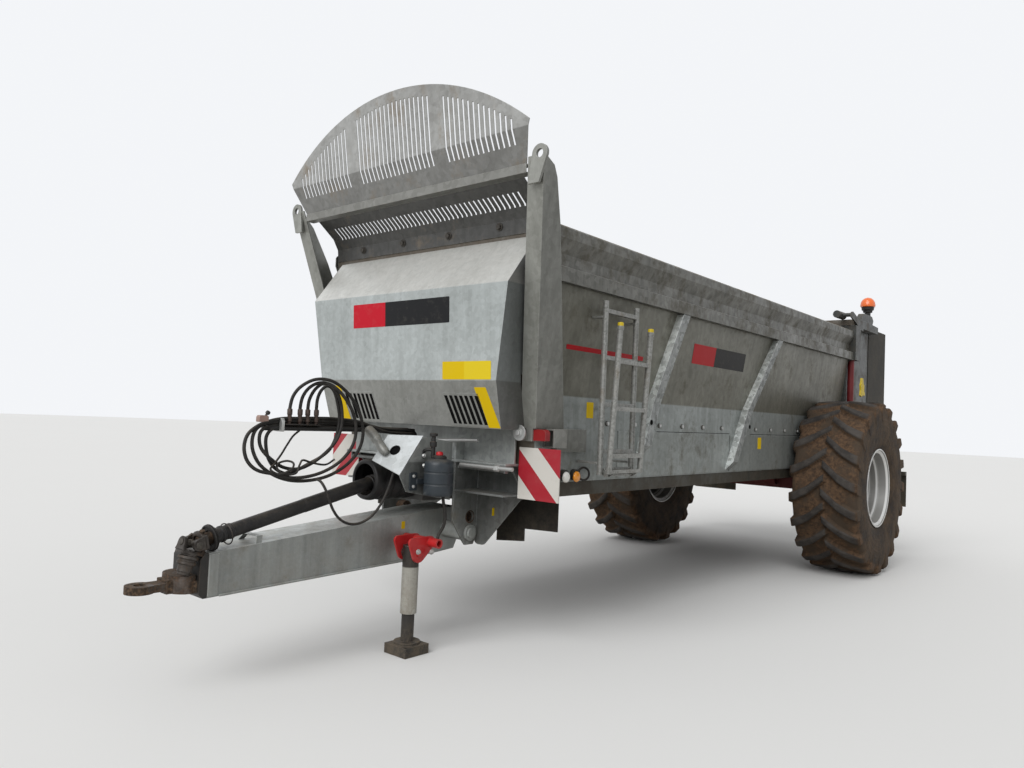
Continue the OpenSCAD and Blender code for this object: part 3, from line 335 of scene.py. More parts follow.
def makeStudio(s):
    world = bpy.data.worlds.new("studioWorld")
    world.use_nodes = True
    tree = world.node_tree
    tree.nodes.clear()
    soft = put(tree, "Background", {"Color": (1.0, 1.0, 1.0), "Strength": s["skyLight"]})
    pale = put(tree, "Background", {"Color": s["backdrop"], "Strength": 1.0})
    both = put(tree, "MixShader", {0: seenItself(tree), 1: soft.outputs[0], 2: pale.outputs[0]})
    put(tree, "OutputWorld", {"Surface": both.outputs[0]})
    bpy.context.scene.world = world
    lamp = bpy.data.lights.new("softSun", "SUN")
    lamp.energy = s["sunLight"]
    lamp.angle = math.radians(s["sunSoftness"])
    sun = bpy.data.objects.new("softSun", lamp)
    back = unit(s["sunFrom"])
    side = unit(np.cross([0, 0, 1], back))
    top = np.cross(back, side)
    sun.matrix_world = Matrix([[side[k], top[k], back[k], 0] for k in range(3)] + [[0, 0, 0, 1]])
    bpy.context.scene.collection.objects.link(sun)


def makeFloor(s):
    # one wide disc with faint patches; it gives less light back than it shows
    material, tree, shader = startMaterial("paleFloor", Roughness=0.9)
    patch = tuple(c * s["floorPatch"] for c in s["floorColor"])
    tint = mixColors(tree, noise(tree, 0.35, 3.0), s["floorColor"], patch)
    setInputs(tree, shader, {"Base Color": mixColors(tree, seenItself(tree), s["floorBounce"], tint)})
    rim = circle(s["floorReach"], s["floorSides"])[::-1]
    mesh = bpy.data.meshes.new("studioFloor")
    mesh.from_pydata([(x, y, -s["floorDrop"]) for x, y in rim.tolist()], [], [list(range(len(rim)))])
    mesh.materials.append(material)
    floor = bpy.data.objects.new("studioFloor", mesh)
    bpy.context.scene.collection.objects.link(floor)


def startMaterial(name, **settings):
    material = bpy.data.materials.new(name)
    material.use_nodes = True
    tree = material.node_tree
    values = {key.replace("_", " "): value for key, value in settings.items()}
    return material, tree, setInputs(tree, tree.nodes["Principled BSDF"], values)


def closeMaterial(tree, shader, color, rough, height, strength, distance, normal=None):
    # colour, roughness and relief go to the shader; the relief may stand on a rounded normal
    bump = put(tree, "Bump", {"Height": height, "Strength": strength, "Distance": distance})
    if normal is not None:
        tree.links.new(normal, bump.inputs["Normal"])
    setInputs(tree, shader, {"Base Color": color, "Roughness": rough, "Normal": bump.outputs[0]})


makeStudio(studio)
makeFloor(studio)
bpy.context.scene.view_settings.view_transform = "Standard"
print("studio lit")


def newGroup(name, inputs, outputs):
    # a colour input is told by its three numbers, and an output's kind by its name
    group = bpy.data.node_groups.new(name, "ShaderNodeTree")
    for label, value in inputs.items():
        color = isinstance(value, tuple)
        socket = group.interface.new_socket(label, in_out="INPUT",
            socket_type="NodeSocketColor" if color else "NodeSocketFloat")
        socket.default_value = (*value, 1.0) if color else value
    for label in outputs:
        kind = {"Color": "NodeSocketColor", "Normal": "NodeSocketVector"}.get(label, "NodeSocketFloat")
        group.interface.new_socket(label, in_out="OUTPUT", socket_type=kind)
    return group, group.nodes.new("NodeGroupInput").outputs, group.nodes.new("NodeGroupOutput")


def makeZincGroup():
    # crystals of the zinc bath, cloudy patches, runs of rain down the sheet and fine grit
    group, given, result = newGroup("zincSurface", {"Light Color": (0.5, 0.5, 0.5), "Dark Color": (0.3, 0.3, 0.3),
        "Stain Color": (0.2, 0.17, 0.13), "Spangle Scale": 42.0, "Spangle": 0.5, "Streaks": 0.5, "Stains": 0.3},
        ["Color", "Roughness", "Height"])
    place = objectPlace(group)
    wobble = put(group, "TexNoise", {"Vector": place, "Scale": 14.0, "Detail": 2.0}).outputs["Color"]
    bent = put(group, "VectorMath", {0: wobble, 1: (0.03, 0.03, 0.03)}, operation="MULTIPLY").outputs[0]
    moved = put(group, "VectorMath", {0: place, 1: bent}, operation="ADD").outputs[0]
    cells = put(group, "TexVoronoi", {"Vector": moved, "Scale": given["Spangle Scale"],
        "Randomness": 1.0}).outputs["Color"]
    cellTone = put(group, "SeparateColor", {0: cells}).outputs[0]
    patches, fine, soiled = noise(group, 2.3, 5.0, 0.6), noise(group, 150.0, 3.0), noise(group, 4.5, 8.0, 0.72)
    stretched = put(group, "Mapping", {"Vector": place, "Scale": (17.0, 17.0, 0.9)}).outputs[0]
    runs = noise(group, 1.0, 6.0, 0.65, stretched)
    spangle = times(group, minus(group, cellTone, 0.5), given["Spangle"])
    cloud = times(group, minus(group, patches, 0.5), 1.5)
    runTone = times(group, times(group, minus(group, runs, 0.5), given["Streaks"]), 2.2)
    grit = times(group, minus(group, fine, 0.5), 0.35)
    tone = plus(group, plus(group, plus(group, spangle, cloud), plus(group, runTone, grit)), 0.5, clamp=True)
    metal = mixColors(group, tone, given["Dark Color"], given["Light Color"])
    low = minus(group, 0.72, times(group, given["Stains"], 0.4))
    mask = times(group, ramp(group, minus(group, weighted(group, soiled, 0.7, runs, 0.3), low), 0.0, 0.16), 0.75)
    rough = plus(group, plus(group, 0.47, times(group, tone, -0.14)), times(group, mask, 0.3))
    setInputs(group, result, {"Color": mixColors(group, mask, metal, given["Stain Color"]), "Roughness": rough,
        "Height": weighted(group, cellTone, given["Spangle"], fine, 0.4)})
    return group


def makeEdgeGroup():
    # where a rounded normal leaves the flat one there is an edge, rubbed bare in patches
    group, given, result = newGroup("edgeWear", {"Radius": 0.004, "Wear": 0.6, "Patch Scale": 14.0}, ["Mask", "Normal"])
    rounded = put(group, "Bevel", {"Radius": given["Radius"]}, samples=4).outputs[0]
    flat = put(group, "NewGeometry").outputs["Normal"]
    same = put(group, "VectorMath", {0: rounded, 1: flat}, operation="DOT_PRODUCT").outputs["Value"]
    turn = ramp(group, minus(group, 1.0, same), 0.01, 0.16)
    patch = noise(group, given["Patch Scale"], 6.0, 0.7)
    broken = ramp(group, plus(group, patch, times(group, given["Wear"], 0.4)), 0.52, 0.72)
    setInputs(group, result, {"Mask": times(group, turn, broken, clamp=True), "Normal": rounded})
    return group


def makeDustGroup():
    # dry dirt that settles on faces turned upwards and splashes up from the ground
    group, given, result = newGroup("fieldDust", {"On Top": 0.5, "Splash": 0.5, "Splash Height": 1.1, "Grain": 9.0},
        ["Mask", "Height"])
    up = axesOf(group, put(group, "TexCoord").outputs["Normal"])[2]
    cloud, speck = noise(group, given["Grain"], 7.0, 0.66), noise(group, 95.0, 2.0)
    settled = times(group, ramp(group, up, 0.25, 0.95), given["On Top"])
    level = calc(group, "DIVIDE", axesOf(group)[2], given["Splash Height"])
    splashed = times(group, ramp(group, level, 1.0, 0.15), given["Splash"])
    broken = ramp(group, weighted(group, cloud, 0.75, speck, 0.25), 0.36, 0.64)
    mask = times(group, plus(group, settled, splashed), broken, clamp=True)
    setInputs(group, result, {"Mask": mask, "Height": times(group, mask, speck)})
    return group


def makeRustGroup():
    # brown bloom in clouds with darker pits
    group, given, result = newGroup("rustBloom", {"Amount": 0.3, "Scale": 7.0, "Pale Rust": (0.30, 0.15, 0.07),
        "Dark Rust": (0.09, 0.045, 0.025)}, ["Mask", "Color", "Height"])
    cloud, pits = noise(group, given["Scale"], 9.0, 0.72), noise(group, 85.0, 4.0)
    edge = minus(group, 0.78, times(group, given["Amount"], 0.62))
    mask = ramp(group, minus(group, weighted(group, cloud, 0.85, pits, 0.15), edge), 0.0, 0.12)
    color = mixColors(group, ramp(group, pits, 0.35, 0.65), given["Dark Rust"], given["Pale Rust"])
    setInputs(group, result, {"Mask": mask, "Color": color, "Height": times(group, mask, pits)})
    return group


effects = {"zinc": makeZincGroup(), "edge": makeEdgeGroup(), "dust": makeDustGroup(), "rust": makeRustGroup()}
print("shared effects made")


def useEffect(tree, effect, inputs):
    return put(tree, "Group", inputs, node_tree=effects[effect]).outputs


def useDust(tree, onTop, splash, splashHeight, grain=9.0):
    return useEffect(tree, "dust", {"On Top": onTop, "Splash": splash, "Splash Height": splashHeight, "Grain": grain})


def paintedFacingShade(tree, color, facingShades):
    # painted shade by facing: each entry is (axis, sign, factor), and faces turned along that axis get darker by the
    # factor, as if less light fell on them; sign 0 means both ways
    turned = axesOf(tree, put(tree, "TexCoord").outputs["Normal"])
    for axis, sign, factor in facingShades:
        way = calc(tree, "ABSOLUTE", turned[axis]) if sign == 0 else times(tree, turned[axis], sign)
        color = mixColors(tree, ramp(tree, way, 0.45, 0.85), color, (factor,) * 3, "MULTIPLY")
    return color


def tinted(tree, tone, mask, amount, color):
    # the tone goes over to the colour where the mask is 1, by the amount
    return mixColors(tree, times(tree, mask, amount), tone, color)


dustColor, paleDust = (0.24, 0.19, 0.13), (0.15, 0.12, 0.085)


def zincMaterial(name, light, dark, bands=(), spangle=0.5, scale=42.0, streaks=0.5, stains=0.3,
        stain=(0.17, 0.14, 0.10), wear=0.45, edge=(0.62, 0.64, 0.64), onTop=0.35, splash=0.3, splashHeight=1.2,
        rust=0.0, metallic=0.35, facingShades=(), specular=0.4):
    # bands are (height, softness, light, dark): above that height the sheet takes these colours instead; on the wall,
    # hood, headboard and hitch these bands are painted light and shade
    material, tree, shader = startMaterial(name, Metallic=metallic, Specular_IOR_Level=specular)
    for height, softness, bandLight, bandDark in bands:
        above = ramp(tree, axesOf(tree)[2], height - softness, height + softness)
        light, dark = mixColors(tree, above, light, bandLight), mixColors(tree, above, dark, bandDark)
    zinc = useEffect(tree, "zinc", {"Light Color": light, "Dark Color": dark, "Stain Color": stain,
        "Spangle Scale": scale, "Spangle": spangle, "Streaks": streaks, "Stains": stains})
    worn = useEffect(tree, "edge", {"Radius": 0.0035, "Wear": wear})
    dirt = useDust(tree, onTop, splash, splashHeight)
    # painted shade on faces turned along the given axes
    color = paintedFacingShade(tree, zinc["Color"], facingShades) if facingShades else zinc["Color"]
    color = tinted(tree, color, worn["Mask"], 0.6, edge)
    if rust:
        bloom = useEffect(tree, "rust", {"Amount": rust})
        color = tinted(tree, color, bloom["Mask"], 0.8, bloom["Color"])
    rough = plus(tree, zinc["Roughness"], times(tree, dirt["Mask"], 0.4), clamp=True)
    closeMaterial(tree, shader, mixColors(tree, dirt["Mask"], color, dustColor), rough,
        plus(tree, zinc["Height"], dirt["Height"]), 0.22, 0.0012, worn["Normal"])
    return material


def paintMaterial(name, color, under=(0.20, 0.17, 0.15), wear=0.5, chips=0.0, roughness=0.42, onTop=0.4, splash=0.35,
        splashHeight=1.0, fade=0.12, coat=0.0, dust=dustColor):
    # paint that fades in clouds, is rubbed off at the edges and chipped in spots, under dust
    material, tree, shader = startMaterial(name, Coat_Weight=coat, Specular_IOR_Level=0.35)
    cloud, orange = noise(tree, 6.0, 6.0, 0.6), noise(tree, 320.0, 1.0)
    faded = tuple(min(1.0, c * (1 + fade) + fade * 0.08) for c in color)
    deep = tuple(c * (1 - fade * 1.6) for c in color)
    worn = useEffect(tree, "edge", {"Radius": 0.003, "Wear": wear, "Patch Scale": 22.0})
    tone = mixColors(tree, worn["Mask"], mixColors(tree, ramp(tree, cloud, 0.34, 0.68), deep, faded), under)
    if chips:
        bloom = useEffect(tree, "rust", {"Amount": chips, "Scale": 16.0})
        tone = mixColors(tree, bloom["Mask"], tone, bloom["Color"])
    dirt = useDust(tree, onTop, splash, splashHeight, 12.0)
    rough = plus(tree, plus(tree, roughness - 0.08, times(tree, cloud, 0.2)), times(tree, dirt["Mask"], 0.4),
        clamp=True)
    closeMaterial(tree, shader, mixColors(tree, dirt["Mask"], tone, dust), rough,
        plus(tree, orange, dirt["Height"]), 0.15, 0.0008, worn["Normal"])
    return material


def rubberMaterial(name, color, pale, roughness=0.62, splash=0.5, splashHeight=1.2, scale=26.0, onTop=0.4,
        specular=0.3):
    # rubber with a grey bloom in clouds and fine pores
    material, tree, shader = startMaterial(name, Specular_IOR_Level=specular)
    cloud, pores = noise(tree, scale, 6.0, 0.7), noise(tree, 420.0, 2.0)
    dirt = useDust(tree, onTop, splash, splashHeight, 15.0)
    tone = mixColors(tree, dirt["Mask"], mixColors(tree, ramp(tree, cloud, 0.35, 0.75), color, pale), paleDust)
    closeMaterial(tree, shader, tone, plus(tree, roughness, times(tree, cloud, 0.2), clamp=True),
        plus(tree, pores, dirt["Height"]), 0.3, 0.0008)
    return material


def wornSteelMaterial(name, bare, rustAmount=0.55, roughness=0.5, pale=(0.13, 0.085, 0.055), grease=0.0):
    # bare steel under rust, with greasy black where it turns
    material, tree, shader = startMaterial(name, Metallic=0.35, Specular_IOR_Level=0.3)
    bloom = useEffect(tree, "rust", {"Amount": rustAmount, "Scale": 9.0, "Pale Rust": pale,
        "Dark Rust": (0.035, 0.025, 0.018)})
    worn = useEffect(tree, "edge", {"Radius": 0.004, "Wear": 0.8, "Patch Scale": 18.0})
    scratch = noise(tree, 60.0, 7.0, 0.75)
    tone = mixColors(tree, ramp(tree, scratch, 0.3, 0.7), tuple(c * 0.55 for c in bare), bare)
    kept = minus(tree, 1.0, times(tree, worn["Mask"], 0.7))
    tone = tinted(tree, tone, bloom["Mask"], kept, bloom["Color"])
    if grease:
        smear = ramp(tree, noise(tree, 13.0, 5.0), 0.62 - 0.3 * grease, 0.72)
        tone = tinted(tree, tone, smear, 0.85, (0.022, 0.018, 0.015))
    dirt = useDust(tree, 0.22, 0.2, 1.0)
    closeMaterial(tree, shader, mixColors(tree, dirt["Mask"], tone, paleDust),
        plus(tree, roughness, times(tree, bloom["Mask"], 0.32), clamp=True),
        plus(tree, bloom["Height"], times(tree, scratch, 0.5)), 0.45, 0.0015, worn["Normal"])
    return material


def signMaterial(name, color, second=None, split=None, dull=0.12):
    # printed film, faded and scratched; a second colour starts where the axis passes the split
    material, tree, shader = startMaterial(name, Specular_IOR_Level=0.16)
    if second:
        axis, at = split
        color = mixColors(tree, calc(tree, "GREATER_THAN", axesOf(tree)[axis], at), color, second)
    cloud = noise(tree, 18.0, 7.0, 0.7)
    dulled = tinted(tree, color, ramp(tree, cloud, 0.5, 0.8), dull, (0.30, 0.28, 0.24))
    closeMaterial(tree, shader, dulled, plus(tree, 0.34, times(tree, cloud, 0.25)), cloud, 0.08, 0.0006)
    return material


def stripeMaterial(name):
    # slanted red and white bands of reflecting film: the band is told by |x| + z, counted from the board's corner
    material, tree, shader = startMaterial(name, Coat_Weight=0.2)
    axes = axesOf(tree)
    along = minus(tree, plus(tree, calc(tree, "ABSOLUTE", axes[0]), axes[2]), 0.697 + 0.862)
    steps = [calc(tree, "GREATER_THAN", along, edge) for edge in (0.128, 0.270, 0.412)]
    red = plus(tree, minus(tree, steps[0], steps[1]), steps[2])
    cells = put(tree, "TexVoronoi", {"Vector": objectPlace(tree), "Scale": 420.0},
        feature="DISTANCE_TO_EDGE").outputs[0]
    cloud = noise(tree, 15.0, 8.0, 0.7)
    tone = mixColors(tree, red, (0.62, 0.60, 0.56), (0.36, 0.008, 0.020))
    tone = tinted(tree, tone, ramp(tree, cloud, 0.5, 0.8), 0.16, (0.28, 0.25, 0.21))
    closeMaterial(tree, shader, tone, plus(tree, 0.3, times(tree, cloud, 0.25)), ramp(tree, cells, 0.0, 0.12), 0.12,
        0.0004)
    return material


def lensMaterial(name, color):
    # moulded lens: fine ribs under a smooth face
    material, tree, shader = startMaterial(name, Coat_Weight=0.6, Coat_Roughness=0.08)
    ribs = put(tree, "TexWave", {"Vector": objectPlace(tree), "Scale": 90.0, "Distortion": 0.4},
        bands_direction="Z").outputs[1]
    cloud = noise(tree, 30.0, 4.0)
    tone = tinted(tree, color, ribs, 0.35, tuple(c * 0.72 for c in color))
    tone = tinted(tree, tone, ramp(tree, cloud, 0.55, 0.8), 0.12, (0.4, 0.36, 0.3))
    closeMaterial(tree, shader, tone, plus(tree, 0.16, times(tree, cloud, 0.2)), ribs, 0.2, 0.0008)
    return material


def axleReach(tree):
    # distance from the wheels' axle: the root of dy * dy + dz * dz
    dy, dz = (minus(tree, axesOf(tree)[k], axlePlace[k]) for k in (1, 2))
    return calc(tree, "SQRT", plus(tree, times(tree, dy, dy), times(tree, dz, dz)))


def tyreMaterial(name):
    # mud between the lugs, dark rubber on their crests and rings on the flank, told by the distance from the axle
    material, tree, shader = startMaterial(name, Specular_IOR_Level=0.2)
    reach = axleReach(tree)
    cloud, clods, grit = noise(tree, 5.5, 8.0, 0.68), noise(tree, 34.0, 9.0, 0.75), noise(tree, 190.0, 4.0)
    mud = mixColors(tree, ramp(tree, clods, 0.3, 0.7), (0.036, 0.025, 0.018), (0.150, 0.090, 0.052))
    mud = mixColors(tree, ramp(tree, cloud, 0.44, 0.62), mud, (0.066, 0.048, 0.034))
    rubber = mixColors(tree, ramp(tree, cloud, 0.3, 0.7), (0.026, 0.024, 0.023), (0.078, 0.070, 0.064))
    rubber = mixColors(tree, ramp(tree, grit, 0.58, 0.78), rubber, (0.11, 0.082, 0.060))
    crest = ramp(tree, plus(tree, reach, times(tree, minus(tree, clods, 0.5), 0.02)), 0.772, 0.790)
    flankTone = mixColors(tree, ramp(tree, weighted(tree, cloud, 0.6, clods, 0.4), 0.38, 0.62),
        (0.028, 0.023, 0.020), (0.092, 0.064, 0.042))
    tone = mixColors(tree, ramp(tree, reach, 0.725, 0.68), mixColors(tree, crest, mud, rubber), flankTone)
    rings = ramp(tree, calc(tree, "ABSOLUTE", calc(tree, "SINE", times(tree, reach, 62.0))), 0.86, 0.98)
    ringMask = times(tree, ramp(tree, reach, 0.70, 0.66), rings)
    height = plus(tree, plus(tree, clods, times(tree, grit, 0.25)), times(tree, ringMask, 0.5))
    closeMaterial(tree, shader, tone, ramp(tree, clods, 0.2, 0.8, 0.72, 0.95), height, 0.55, 0.006)
    return material


def rimMaterial(name):
    # white paint, greyer inside the barrel as painted shade deep in the dish, with painted shade lines in the corners
    # of the pressed steps
    material, tree, shader = startMaterial(name, Metallic=0.15, Specular_IOR_Level=0.35)
    reach = axleReach(tree)
    cloud, specks = noise(tree, 9.0, 7.0, 0.66), noise(tree, 70.0, 5.0)
    # painted shade: darker towards the middle of the dish
    tone = mixColors(tree, ramp(tree, reach, 0.268, 0.330), (0.30, 0.30, 0.295), (0.76, 0.765, 0.76))
    # painted shade: thin dark rings where the pressed steps turn
    for corner in (0.3475, 0.3205, 0.2985, 0.2830):
        off = calc(tree, "ABSOLUTE", minus(tree, reach, corner))
        tone = tinted(tree, tone, ramp(tree, off, 0.0042, 0.0012), 0.72, (0.11, 0.105, 0.095))
    low = ramp(tree, plus(tree, axesOf(tree)[2], times(tree, cloud, 0.3)), 0.80, 0.52)
    tone = tinted(tree, tone, times(tree, low, ramp(tree, specks, 0.42, 0.62)), 0.55, (0.26, 0.23, 0.18))
    tone = tinted(tree, tone, ramp(tree, cloud, 0.55, 0.8), 0.35, (0.33, 0.31, 0.28))
    bloom = useEffect(tree, "rust", {"Amount": 0.08})
    tone = mixColors(tree, bloom["Mask"], tone, bloom["Color"])
    closeMaterial(tree, shader, tone, plus(tree, 0.33, times(tree, cloud, 0.22)), plus(tree, specks, bloom["Height"]),
        0.12, 0.0008)
    return material


